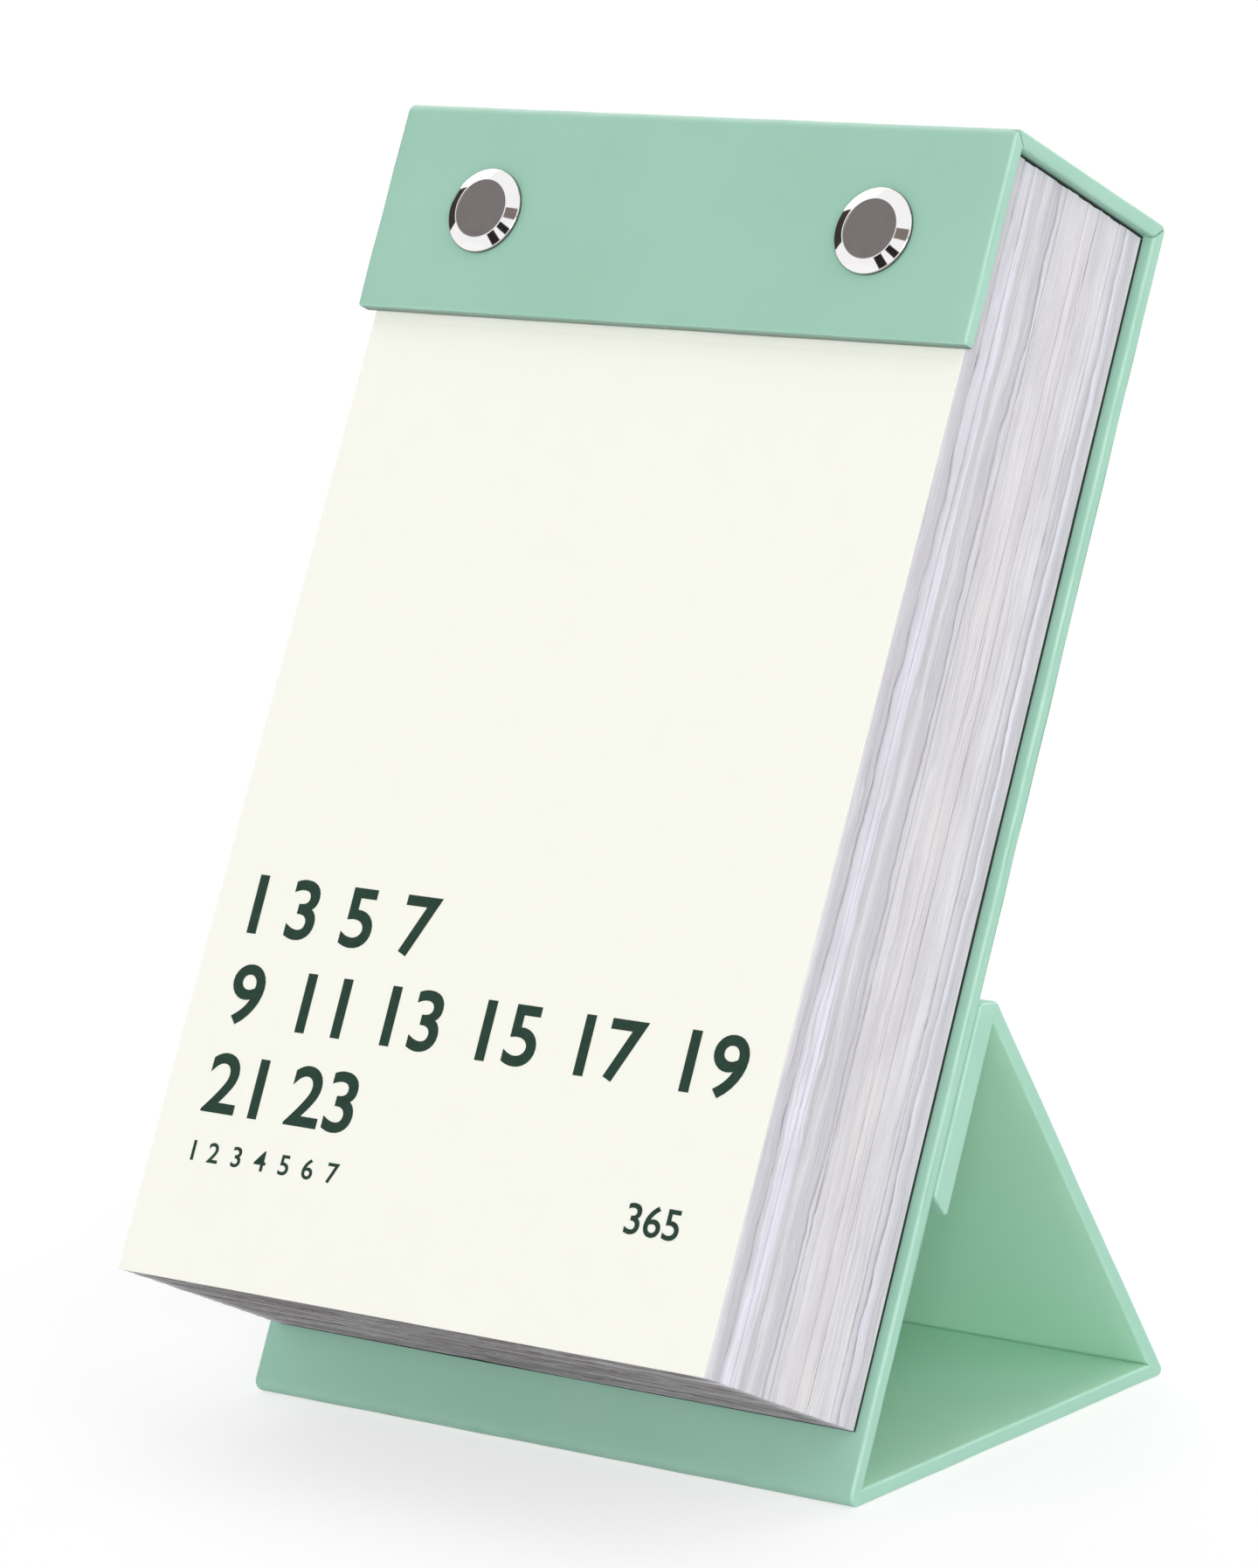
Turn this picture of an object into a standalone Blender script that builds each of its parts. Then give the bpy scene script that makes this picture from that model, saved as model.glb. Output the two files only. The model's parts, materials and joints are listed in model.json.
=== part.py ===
"""Desk tear-off calendar in a wrapped hard case that folds into an easel stand.

Frame: metres, +Z up, the resting surface at z = 0, the front towards -Y.
Each board stands in its own frame, whose parent empty lies on the fold it turns about.
"""

import math

import bmesh
import bpy
from mathutils import Matrix, Vector

MM = 0.001

# Case
CASE_WIDTH = 105.0
LEAN_DEG = 26.0  # the back board's lean behind the vertical
PANEL_THICKNESS = 2.3  # a wrapped board, over both wraps
BACK_HEIGHT = 180.4  # from the ground line of the rear face to the top of the spine
STRIP_HEIGHT = 30.7
STAND_DEPTH = 74.0  # from the ground line of the back board to the rear foot
STRUT_SLOPE_DEG = 57.7  # the strut's slope above the base
FLAP_THICKNESS = 4.0
FLAP_LENGTH = 28.5  # from the top fold's axis to the flap's free end
FLAP_END_SLANT = 1.9  # how much shorter the flap is on its contact side

# Wraps and the boards in them
WRAP_WALL = 0.3
BOARD_CLEARANCE = 0.1
EDGE_ROUNDING = 0.7
EDGE_SEGMENTS = 3
MITRE_GAP = 0.12

# Folds
FOLD_RADIUS = 1.35  # outer radius of the cloth at the two feet
FOLD_HEIGHT = 1.4  # height of the two foot axes above the ground
BACK_FOLD_GAP = 1.8  # from the front foot's axis to the boards on either side
STRUT_FOLD_GAP = 2.0  # from the rear foot's axis to the boards on either side
FOLD_CLEARANCE = 0.15
TOP_FOLD_BEHIND_BACK = 2.6  # the top fold's axis behind the back board's rear face
TOP_FOLD_INSIDE_STRUT = 2.45  # and inside the strut's outer face
TOP_FOLD_RADIUS = 0.8
TOP_CAP_FRONT_RISE = 1.6  # the cloth's top above the axis, where it meets the flap
TOP_CAP_REAR_RISE = 1.1  # and where it meets the strut
TOP_INNER_STEP = 0.2
TOP_STRUT_GAP = 1.0
TOP_FLAP_GAP = 1.4
SEAT_GAP = 0.3  # between the flap and the back board that it rests on

# Block of leaves
CASE_OVERHANG = 1.8  # how far the case stands past the leaves on either side
PAGE_LOWER_END = 9.5
BACKING_THICKNESS = 0.5
TAPE_THICKNESS = 0.3
LAYER_GAP = 0.1
GATHERINGS = 12
GATHERING_THICKNESS = 2.74
GATHERING_GAP = 0.06
GATHERING_SHIFT = 0.12  # how far the gatherings stand out of line sideways
GATHERING_SHIFT_TURN = 2.4  # in radians of a sine, from one gathering to the next
FRONT_SHEET_THICKNESS = 0.25
PERFORATION_BELOW_STRIP = 1.2
PERFORATION_GAP = 0.2

# Screw posts
POST_FROM_SIDE = 19.0
POST_BELOW_TOP = 15.8
POST_HOLE_RADIUS = 2.8
POST_RADIUS = 2.5
POST_BORE_RADIUS = 1.75
POST_BORE_DEPTH = 16.0
HEAD_RADIUS = 6.2
HEAD_RIM = 0.35
HEAD_HEIGHT = 1.7
HEAD_FACE_RADIUS = 4.4
HEAD_SEAT_GAP = 0.1
SCREW_RADIUS = 1.45
SCREW_LENGTH = 14.0
SCREW_HEAD_RADIUS = 5.0
SCREW_HEAD_HEIGHT = 1.0
SLOT_WIDTH = 0.9
SLOT_DEPTH = 0.45
ROUND_STEPS = 48

# Magnets
MAGNET_RADIUS = 4.0
MAGNET_POCKET_RADIUS = 4.3
MAGNET_FROM_SIDE = 22.5
MAGNET_ABOVE_FLAP_END = 11.5
BACK_MAGNET_THICKNESS = 1.2
FLAP_MAGNET_THICKNESS = 2.0

# Meshing
MERGE_DISTANCE = 0.000001  # in metres
FILLET_STEPS = 6

LEAN = math.radians(LEAN_DEG)
STRUT_SLOPE = math.radians(STRUT_SLOPE_DEG)
HALF_WIDTH = CASE_WIDTH / 2
INNER_STEP = WRAP_WALL + BOARD_CLEARANCE
BOARD_WIDTH = CASE_WIDTH - 2 * INNER_STEP
FOLD_WIDTH = BOARD_WIDTH
PAGE_WIDTH = CASE_WIDTH - 2 * CASE_OVERHANG
POST_OFFSET_X = HALF_WIDTH - POST_FROM_SIDE
MAGNET_OFFSET_X = HALF_WIDTH - MAGNET_FROM_SIDE

# Depths in front of the back board's rear face
BACKING_FRONT = PANEL_THICKNESS + LAYER_GAP + BACKING_THICKNESS
GATHERINGS_REAR = BACKING_FRONT + LAYER_GAP
GATHERING_PITCH = GATHERING_THICKNESS + GATHERING_GAP
GATHERINGS_FRONT = GATHERINGS_REAR + GATHERINGS * GATHERING_PITCH - GATHERING_GAP
SHEET_REAR = GATHERINGS_FRONT + LAYER_GAP
SHEET_FRONT = SHEET_REAR + FRONT_SHEET_THICKNESS
STRIP_REAR = SHEET_FRONT + LAYER_GAP
STRIP_FRONT = STRIP_REAR + PANEL_THICKNESS

# Heights along the back board
SPINE_LOWER = BACK_HEIGHT - PANEL_THICKNESS
TAPE_TOP = SPINE_LOWER - LAYER_GAP
PAGE_TOP = TAPE_TOP - TAPE_THICKNESS - LAYER_GAP
STRIP_LOWER = BACK_HEIGHT - STRIP_HEIGHT
PERFORATION = STRIP_LOWER - PERFORATION_BELOW_STRIP
POST_HEIGHT = BACK_HEIGHT - POST_BELOW_TOP

# The front foot's axis in the back board's own heights and depths
BACK_AXIS_DEPTH = PANEL_THICKNESS - FOLD_HEIGHT
BACK_AXIS_HEIGHT = (FOLD_HEIGHT - BACK_AXIS_DEPTH * math.sin(LEAN)) / math.cos(LEAN)


def on_back(height, depth):
    """World y and z in mm of a point given by its height along the back board and its depth."""
    y = height * math.sin(LEAN) - depth * math.cos(LEAN)
    z = height * math.cos(LEAN) + depth * math.sin(LEAN)
    return y, z


def meeting(first, along, second, across):
    """The point where a line from first meets a line from second."""
    gap = Vector(second) - Vector(first)
    share = gap.cross(across) / along.cross(across)
    return Vector(first) + along * share


# Directions in y and z: up and out of the back board's rear face, and of the strut's outer face
BACK_UP = Vector((math.sin(LEAN), math.cos(LEAN)))
BACK_OUT = Vector((math.cos(LEAN), -math.sin(LEAN)))
STRUT_UP = Vector((-math.cos(STRUT_SLOPE), math.sin(STRUT_SLOPE)))
STRUT_OUT = Vector((math.sin(STRUT_SLOPE), math.cos(STRUT_SLOPE)))

# The four fold and tear axes
FRONT_AXIS = on_back(BACK_AXIS_HEIGHT, BACK_AXIS_DEPTH)
REAR_AXIS = (STAND_DEPTH - FOLD_HEIGHT / math.tan(STRUT_SLOPE / 2), FOLD_HEIGHT)
TOP_AXIS = meeting(
    BACK_OUT * TOP_FOLD_BEHIND_BACK, BACK_UP,
    Vector(REAR_AXIS) + STRUT_OUT * (FOLD_HEIGHT - TOP_FOLD_INSIDE_STRUT), STRUT_UP,
)
SHEET_AXIS = on_back(PERFORATION, SHEET_FRONT)
STRUT_LENGTH = (TOP_AXIS - Vector(REAR_AXIS)).dot(STRUT_UP)

# The top axis's place on the back board, and the flap's contact face behind it
TOP_AXIS_HEIGHT = TOP_AXIS.dot(BACK_UP)
FLAP_CONTACT_Y = SEAT_GAP - TOP_FOLD_BEHIND_BACK
FLAP_LOWER_END = TOP_AXIS_HEIGHT - FLAP_LENGTH
MAGNET_HEIGHT = FLAP_LOWER_END + MAGNET_ABOVE_FLAP_END

# The frame's origin lies under the middle of the whole object's depth, from the leaves'
# lower front edge to the rounded rear edge of the spine
FRONT_REACH = on_back(PAGE_LOWER_END, SHEET_FRONT)[0]
ROUNDING_LOSS = EDGE_ROUNDING * (math.sin(LEAN) + math.cos(LEAN) - 1)
REAR_REACH = on_back(BACK_HEIGHT, 0)[0] - ROUNDING_LOSS
FRAME_SHIFT_Y = -(FRONT_REACH + REAR_REACH) / 2


def clear_scene():
    for old in list(bpy.data.objects):
        bpy.data.objects.remove(old, do_unlink=True)


def new_collection(name):
    group = bpy.data.collections.new(name)
    bpy.context.scene.collection.children.link(group)
    return group


clear_scene()
PARTS = new_collection("desk_tear_off_calendar")
CUTTERS = new_collection("cutters")


def material(name, colour, roughness, metallic=0.0):
    made = bpy.data.materials.new(name)
    made.use_nodes = True
    shader = made.node_tree.nodes["Principled BSDF"]
    shader.inputs["Base Color"].default_value = (*colour, 1.0)
    shader.inputs["Roughness"].default_value = roughness
    shader.inputs["Metallic"].default_value = metallic
    made.diffuse_color = (*colour, 1.0)
    return made


WRAP = material("mint_wrap", (0.36, 0.61, 0.49), 0.55)
GREYBOARD = material("greyboard", (0.32, 0.30, 0.27), 0.9)
PAPER = material("leaf_paper", (0.72, 0.71, 0.72), 0.8)
FRONT_PAPER = material("cream_paper", (0.94, 0.94, 0.86), 0.7)
BLACK_CARD = material("black_card", (0.01, 0.012, 0.011), 0.6)
BLACK_TAPE = material("black_tape", (0.012, 0.014, 0.013), 0.7)
CHROME = material("chrome", (0.62, 0.61, 0.62), 0.15, 1.0)
STEEL = material("screw_steel", (0.5, 0.5, 0.51), 0.3, 1.0)
MAGNET = material("magnet_nickel", (0.45, 0.44, 0.42), 0.35, 1.0)


def own_material(made, base):
    """Each piece gets a copy of its material, named for the piece."""
    piece_material = base.copy()
    piece_material.name = f"{made.name}_{base.name}"
    made.data.materials.clear()
    made.data.materials.append(piece_material)


def empty(name, y, z, turn_x, parent=None):
    frame = bpy.data.objects.new(name, None)
    frame.empty_display_size = 10 * MM
    PARTS.objects.link(frame)
    world = Matrix.Translation((0, (y + FRAME_SHIFT_Y) * MM, z * MM))
    world = world @ Matrix.Rotation(turn_x, 4, "X")
    frame.parent = parent
    if parent:
        frame.matrix_parent_inverse = parent.matrix_world.inverted()
    frame.matrix_world = world
    bpy.context.view_layer.update()
    return frame


BACK_FRAME = empty("back_frame", 0, 0, -LEAN)
BASE_FRAME = empty("front_foot_axis", *FRONT_AXIS, 0, BACK_FRAME)
STRUT_FRAME = empty("rear_foot_axis", *REAR_AXIS, math.pi / 2 - STRUT_SLOPE, BASE_FRAME)
FLAP_FRAME = empty("top_fold_axis", *TOP_AXIS, -LEAN, STRUT_FRAME)
SHEET_FRAME = empty("front_sheet_axis", *SHEET_AXIS, -LEAN, BACK_FRAME)


def place(made, frame, base):
    """Puts a piece, modelled in its frame's coordinates, under that frame's empty."""
    PARTS.objects.link(made)
    made.parent = frame
    own_material(made, base)
    return made


def box_mesh(name, low, high):
    """A box between two corners in mm, as a mesh with its scale applied."""
    mesh = bpy.data.meshes.new(name)
    cage = bmesh.new()
    bmesh.ops.create_cube(cage, size=1.0)
    low, high = Vector(low), Vector(high)
    size = high - low
    middle = (high + low) / 2
    bmesh.ops.scale(cage, vec=size * MM, verts=cage.verts)
    bmesh.ops.translate(cage, vec=middle * MM, verts=cage.verts)
    cage.to_mesh(mesh)
    cage.free()
    return mesh


def box(name, low, high, frame, base):
    made = bpy.data.objects.new(name, box_mesh(name, low, high))
    return place(made, frame, base)


def box_cutter(name, low, high, frame):
    made = bpy.data.objects.new(name, box_mesh(name, low, high))
    return as_cutter(made, frame)


def as_cutter(made, frame):
    CUTTERS.objects.link(made)
    made.parent = frame
    made.hide_render = True
    made.display_type = "WIRE"
    return made


def round_cutter(name, radius, x, z, y_low, y_high, frame, steps=ROUND_STEPS // 2):
    """A round cutter along the frame's y."""
    mesh = bpy.data.meshes.new(name)
    cage = bmesh.new()
    turned = Matrix.Translation(Vector((x, (y_low + y_high) / 2, z)) * MM)
    turned = turned @ Matrix.Rotation(math.pi / 2, 4, "X")
    bmesh.ops.create_cone(
        cage,
        cap_ends=True,
        segments=steps,
        radius1=radius * MM,
        radius2=radius * MM,
        depth=(y_high - y_low) * MM,
        matrix=turned,
    )
    cage.to_mesh(mesh)
    cage.free()
    return as_cutter(bpy.data.objects.new(name, mesh), frame)


def cut(made, *cutters):
    for cutter in cutters:
        boolean = made.modifiers.new(cutter.name, "BOOLEAN")
        boolean.operation = "DIFFERENCE"
        boolean.solver = "EXACT"
        boolean.object = cutter


def round_edges(made, width=EDGE_ROUNDING, segments=EDGE_SEGMENTS):
    bevel = made.modifiers.new("rounding", "BEVEL")
    bevel.width = width * MM
    bevel.segments = segments
    bevel.limit_method = "ANGLE"
    bevel.angle_limit = math.radians(40)


def outline_mesh(name, points, width):
    """A flat outline of y and z points in mm, extruded along x to the width, as a welded mesh."""
    curve = bpy.data.curves.new(name, "CURVE")
    curve.dimensions = "2D"
    curve.fill_mode = "BOTH"
    curve.extrude = width / 2 * MM
    spline = curve.splines.new("POLY")
    spline.points.add(len(points) - 1)
    for point, (y, z) in zip(spline.points, points):
        point.co = (y * MM, z * MM, 0, 1)
    spline.use_cyclic_u = True
    drawn = bpy.data.objects.new(name + "_outline", curve)
    PARTS.objects.link(drawn)
    bpy.context.view_layer.update()
    seen = drawn.evaluated_get(bpy.context.evaluated_depsgraph_get())
    mesh = bpy.data.meshes.new_from_object(seen)
    bpy.data.objects.remove(drawn, do_unlink=True)
    cage = bmesh.new()
    cage.from_mesh(mesh)
    bmesh.ops.remove_doubles(cage, verts=cage.verts, dist=MERGE_DISTANCE)
    # The curve lies in x and y and rises along z: x becomes y, y becomes z, z becomes x
    turn = Matrix(((0, 0, 1, 0), (1, 0, 0, 0), (0, 1, 0, 0), (0, 0, 0, 1)))
    bmesh.ops.transform(cage, matrix=turn, verts=cage.verts)
    bmesh.ops.recalc_face_normals(cage, faces=cage.faces)
    cage.to_mesh(mesh)
    cage.free()
    return mesh


def turned(name, profile, x, z, frame, base):
    """A turned piece whose axis is the frame's y. The profile gives radius and depth to the front."""
    mesh = bpy.data.meshes.new(name)
    cage = bmesh.new()
    row = [cage.verts.new((radius * MM, 0, depth * MM)) for radius, depth in profile]
    for first, second in zip(row, row[1:]):
        cage.edges.new((first, second))
    cage.to_mesh(mesh)
    cage.free()
    made = bpy.data.objects.new(name, mesh)
    place(made, frame, base)
    made.location = Vector((x, 0, z)) * MM
    made.rotation_euler = (math.pi / 2, 0, 0)
    screw = made.modifiers.new("turn", "SCREW")
    screw.steps = ROUND_STEPS
    screw.render_steps = ROUND_STEPS
    screw.use_merge_vertices = True
    screw.merge_threshold = MERGE_DISTANCE
    screw.use_smooth_shade = True
    return made


def wrapped_cover(name, frame, slab, cavity, trims, slant=0.0):
    """The mint wrap of one board: a rounded slab less the board's space and what trims its ends.

    slab and cavity are pairs of corners. slant draws the lower end's contact side up.
    """
    cover = box(name, *slab, frame, WRAP)
    if slant:
        cage = bmesh.new()
        cage.from_mesh(cover.data)
        middle_y = sum(vert.co.y for vert in cage.verts) / len(cage.verts)
        middle_z = sum(vert.co.z for vert in cage.verts) / len(cage.verts)
        for vert in cage.verts:
            if vert.co.y < middle_y and vert.co.z < middle_z:
                vert.co.z += slant * MM
        cage.to_mesh(cover.data)
        cage.free()
    round_edges(cover)
    cut(cover, *trims, box_cutter(name + "_cavity", *cavity, frame))
    cover.data.shade_smooth()
    cover.data.set_sharp_from_angle(angle=math.radians(50))
    return cover


def filleted(corners, steps=FILLET_STEPS):
    """A closed outline whose corners, given as y, z and radius in mm, are rounded by arcs."""
    points = []
    count = len(corners)
    for index, (y, z, radius) in enumerate(corners):
        corner = Vector((y, z))
        before = (Vector(corners[index - 1][:2]) - corner).normalized()
        after = (Vector(corners[(index + 1) % count][:2]) - corner).normalized()
        if not radius:
            points.append((y, z))
            continue
        half = before.angle(after) / 2
        centre = corner + (before + after).normalized() * radius / math.sin(half)
        start = corner + before * radius / math.tan(half) - centre
        end = corner + after * radius / math.tan(half) - centre
        sweep = start.angle_signed(end)
        for step in range(steps + 1):
            spoke = start.copy()
            spoke.rotate(Matrix.Rotation(-sweep * step / steps, 2))
            points.append(tuple(centre + spoke))
    return points


def crease(name, corners, frame):
    """A fold's cloth, filled between the boards on either side, in world y and z."""
    made = bpy.data.objects.new(name, outline_mesh(name, filleted(corners), FOLD_WIDTH))
    place(made, frame, WRAP)
    made.matrix_parent_inverse = frame.matrix_world.inverted()
    made.matrix_world = Matrix.Translation((0, FRAME_SHIFT_Y * MM, 0))
    made.data.shade_smooth()
    made.data.set_sharp_from_angle(angle=math.radians(40))
    return made


WEDGE_REACH = 20.0


def mitre_cutter(name, corner_in, corner_out, far_z):
    """A wedge that ends on the plane through a head edge's inner and outer corners."""
    inner, outer = Vector(corner_in), Vector(corner_out)
    run = (outer - inner).normalized() * WEDGE_REACH / 2
    first = inner - run
    last = outer + run
    points = [first, last, Vector((last.x, far_z)), Vector((first.x, far_z))]
    mesh = outline_mesh(name, [tuple(point) for point in points], 2 * CASE_WIDTH)
    return as_cutter(bpy.data.objects.new(name, mesh), BACK_FRAME)


# The head edges: each mitre runs from the inner corner to the outer corner of its edge
REAR_INNER = (-PANEL_THICKNESS, SPINE_LOWER)
REAR_OUTER = (0, BACK_HEIGHT)
FRONT_INNER = (-STRIP_REAR, SPINE_LOWER)
FRONT_OUTER = (-STRIP_FRONT, BACK_HEIGHT)


def lowered(corner):
    return (corner[0], corner[1] - MITRE_GAP)


ABOVE_Z = BACK_HEIGHT + WEDGE_REACH
BELOW_Z = SPINE_LOWER - WEDGE_REACH
above_rear = mitre_cutter("above_rear_mitre", lowered(REAR_INNER), lowered(REAR_OUTER), ABOVE_Z)
below_rear = mitre_cutter("below_rear_mitre", REAR_INNER, REAR_OUTER, BELOW_Z)
above_front = mitre_cutter("above_front_mitre", lowered(FRONT_INNER), lowered(FRONT_OUTER), ABOVE_Z)
below_front = mitre_cutter("below_front_mitre", FRONT_INNER, FRONT_OUTER, BELOW_Z)

# Holes for the two posts, through the strip, the block and the back board
HOLE_REAR = 5.0
post_holes = [
    round_cutter(f"post_hole_{side}", POST_HOLE_RADIUS, x, POST_HEIGHT,
                 -STRIP_FRONT - HOLE_REAR, HOLE_REAR, BACK_FRAME)
    for side, x in (("left", -POST_OFFSET_X), ("right", POST_OFFSET_X))
]

OVER = 6.0  # how far a slab runs past an end that a cutter trims
INSIDE = HALF_WIDTH - WRAP_WALL
BOARD_X = BOARD_WIDTH / 2

# Back board, whose lower end stops short of the front foot's axis
BACK_LOWER = BACK_AXIS_HEIGHT + BACK_FOLD_GAP
back_trim = box_cutter(
    "back_lower_trim",
    (-CASE_WIDTH, -OVER, BACK_LOWER - 2 * OVER),
    (CASE_WIDTH, OVER, BACK_LOWER),
    BACK_FRAME,
)
wrapped_cover(
    "back_cover",
    BACK_FRAME,
    ((-HALF_WIDTH, -PANEL_THICKNESS, BACK_LOWER - OVER), (HALF_WIDTH, 0, BACK_HEIGHT)),
    (
        (-INSIDE, -PANEL_THICKNESS + WRAP_WALL, BACK_LOWER - 2 * OVER),
        (INSIDE, -WRAP_WALL, BACK_HEIGHT + OVER),
    ),
    [above_rear, back_trim, *post_holes],
)
back_board = box(
    "back_board",
    (-BOARD_X, -PANEL_THICKNESS + INNER_STEP, BACK_LOWER + INNER_STEP),
    (BOARD_X, -INNER_STEP, SPINE_LOWER + BOARD_CLEARANCE),
    BACK_FRAME,
    GREYBOARD,
)
magnet_pockets = [
    round_cutter(f"back_magnet_pocket_{side}", MAGNET_POCKET_RADIUS, x, MAGNET_HEIGHT,
                 -PANEL_THICKNESS, 0, BACK_FRAME)
    for side, x in (("left", -MAGNET_OFFSET_X), ("right", MAGNET_OFFSET_X))
]
cut(back_board, *post_holes, *magnet_pockets)

# Spine, mitred to the back board and to the strip
wrapped_cover(
    "spine_cover",
    BACK_FRAME,
    ((-HALF_WIDTH, -STRIP_FRONT, SPINE_LOWER), (HALF_WIDTH, 0, BACK_HEIGHT)),
    (
        (-INSIDE, -STRIP_FRONT - OVER, SPINE_LOWER + WRAP_WALL),
        (INSIDE, OVER, BACK_HEIGHT - WRAP_WALL),
    ),
    [below_rear, below_front],
)
box(
    "spine_board",
    (-BOARD_X, -STRIP_REAR - BOARD_CLEARANCE, SPINE_LOWER + INNER_STEP),
    (BOARD_X, -PANEL_THICKNESS + BOARD_CLEARANCE, BACK_HEIGHT - INNER_STEP),
    BACK_FRAME,
    GREYBOARD,
)

# Strip, which the screw posts clamp to the block
wrapped_cover(
    "strip_cover",
    BACK_FRAME,
    ((-HALF_WIDTH, -STRIP_FRONT, STRIP_LOWER), (HALF_WIDTH, -STRIP_REAR, BACK_HEIGHT)),
    (
        (-INSIDE, -STRIP_FRONT + WRAP_WALL, STRIP_LOWER + WRAP_WALL),
        (INSIDE, -STRIP_REAR - WRAP_WALL, BACK_HEIGHT + OVER),
    ),
    [above_front, *post_holes],
)
strip_board = box(
    "strip_board",
    (-BOARD_X, -STRIP_FRONT + INNER_STEP, STRIP_LOWER + INNER_STEP),
    (BOARD_X, -STRIP_REAR - INNER_STEP, SPINE_LOWER + BOARD_CLEARANCE),
    BACK_FRAME,
    GREYBOARD,
)
cut(strip_board, *post_holes)

# Base board, on the ground between the two feet
BASE_LENGTH = REAR_AXIS[0] - FRONT_AXIS[0]
BASE_FIRST = BACK_FOLD_GAP
BASE_LAST = BASE_LENGTH - STRUT_FOLD_GAP
base_trims = [
    box_cutter(
        "base_front_trim",
        (-CASE_WIDTH, BASE_FIRST - 2 * OVER, -OVER),
        (CASE_WIDTH, BASE_FIRST, OVER),
        BASE_FRAME,
    ),
    box_cutter(
        "base_rear_trim",
        (-CASE_WIDTH, BASE_LAST, -OVER),
        (CASE_WIDTH, BASE_LAST + 2 * OVER, OVER),
        BASE_FRAME,
    ),
]
BASE_TOP = PANEL_THICKNESS - FOLD_HEIGHT
wrapped_cover(
    "base_cover",
    BASE_FRAME,
    ((-HALF_WIDTH, BASE_FIRST - OVER, -FOLD_HEIGHT), (HALF_WIDTH, BASE_LAST + OVER, BASE_TOP)),
    (
        (-INSIDE, BASE_FIRST - 2 * OVER, -FOLD_HEIGHT + WRAP_WALL),
        (INSIDE, BASE_LAST + 2 * OVER, BASE_TOP - WRAP_WALL),
    ),
    base_trims,
)
box(
    "base_board",
    (-BOARD_X, BASE_FIRST + INNER_STEP, -FOLD_HEIGHT + INNER_STEP),
    (BOARD_X, BASE_LAST - INNER_STEP, BASE_TOP - INNER_STEP),
    BASE_FRAME,
    GREYBOARD,
)

# Strut board, whose frame's z runs up it and whose y points out of the stand
STRUT_FIRST = STRUT_FOLD_GAP
STRUT_LAST = STRUT_LENGTH - TOP_STRUT_GAP
STRUT_INNER = FOLD_HEIGHT - PANEL_THICKNESS
strut_trims = [
    box_cutter(
        "strut_lower_trim",
        (-CASE_WIDTH, -OVER, STRUT_FIRST - 2 * OVER),
        (CASE_WIDTH, OVER, STRUT_FIRST),
        STRUT_FRAME,
    ),
    box_cutter(
        "strut_upper_trim",
        (-CASE_WIDTH, -OVER, STRUT_LAST),
        (CASE_WIDTH, OVER, STRUT_LAST + 2 * OVER),
        STRUT_FRAME,
    ),
]
wrapped_cover(
    "strut_cover",
    STRUT_FRAME,
    ((-HALF_WIDTH, STRUT_INNER, STRUT_FIRST - OVER), (HALF_WIDTH, FOLD_HEIGHT, STRUT_LAST + OVER)),
    (
        (-INSIDE, STRUT_INNER + WRAP_WALL, STRUT_FIRST - 2 * OVER),
        (INSIDE, FOLD_HEIGHT - WRAP_WALL, STRUT_LAST + 2 * OVER),
    ),
    strut_trims,
)
box(
    "strut_board",
    (-BOARD_X, STRUT_INNER + INNER_STEP, STRUT_FIRST + INNER_STEP),
    (BOARD_X, FOLD_HEIGHT - INNER_STEP, STRUT_LAST - INNER_STEP),
    STRUT_FRAME,
    GREYBOARD,
)

# Flap, which lies on the back board and holds to it by its magnets
FLAP_REAR_Y = FLAP_CONTACT_Y + FLAP_THICKNESS
flap_trim = box_cutter(
    "flap_upper_trim",
    (-CASE_WIDTH, -OVER, -TOP_FLAP_GAP),
    (CASE_WIDTH, OVER, -TOP_FLAP_GAP + 2 * OVER),
    FLAP_FRAME,
)
FLAP_INNER_END = -FLAP_LENGTH + FLAP_END_SLANT + WRAP_WALL
wrapped_cover(
    "flap_cover",
    FLAP_FRAME,
    ((-HALF_WIDTH, FLAP_CONTACT_Y, -FLAP_LENGTH), (HALF_WIDTH, FLAP_REAR_Y, -TOP_FLAP_GAP + OVER)),
    (
        (-INSIDE, FLAP_CONTACT_Y + WRAP_WALL, FLAP_INNER_END),
        (INSIDE, FLAP_REAR_Y - WRAP_WALL, -TOP_FLAP_GAP + 2 * OVER),
    ),
    [flap_trim],
    slant=FLAP_END_SLANT,
)
flap_board = box(
    "flap_board",
    (-BOARD_X, FLAP_CONTACT_Y + INNER_STEP, FLAP_INNER_END + BOARD_CLEARANCE),
    (BOARD_X, FLAP_REAR_Y - INNER_STEP, -TOP_FLAP_GAP - INNER_STEP),
    FLAP_FRAME,
    GREYBOARD,
)
FLAP_MAGNET_Z = MAGNET_HEIGHT - TOP_AXIS_HEIGHT
flap_pockets = [
    round_cutter(f"flap_magnet_pocket_{side}", MAGNET_POCKET_RADIUS, x, FLAP_MAGNET_Z,
                 FLAP_CONTACT_Y, FLAP_REAR_Y, FLAP_FRAME)
    for side, x in (("left", -MAGNET_OFFSET_X), ("right", MAGNET_OFFSET_X))
]
cut(flap_board, *flap_pockets)


def disc(name, radius, x, y_low, y_high, z, frame, base):
    profile = [(0, -y_low), (radius, -y_low), (radius, -y_high), (0, -y_high)]
    return turned(name, profile, x, z, frame, base)


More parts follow.
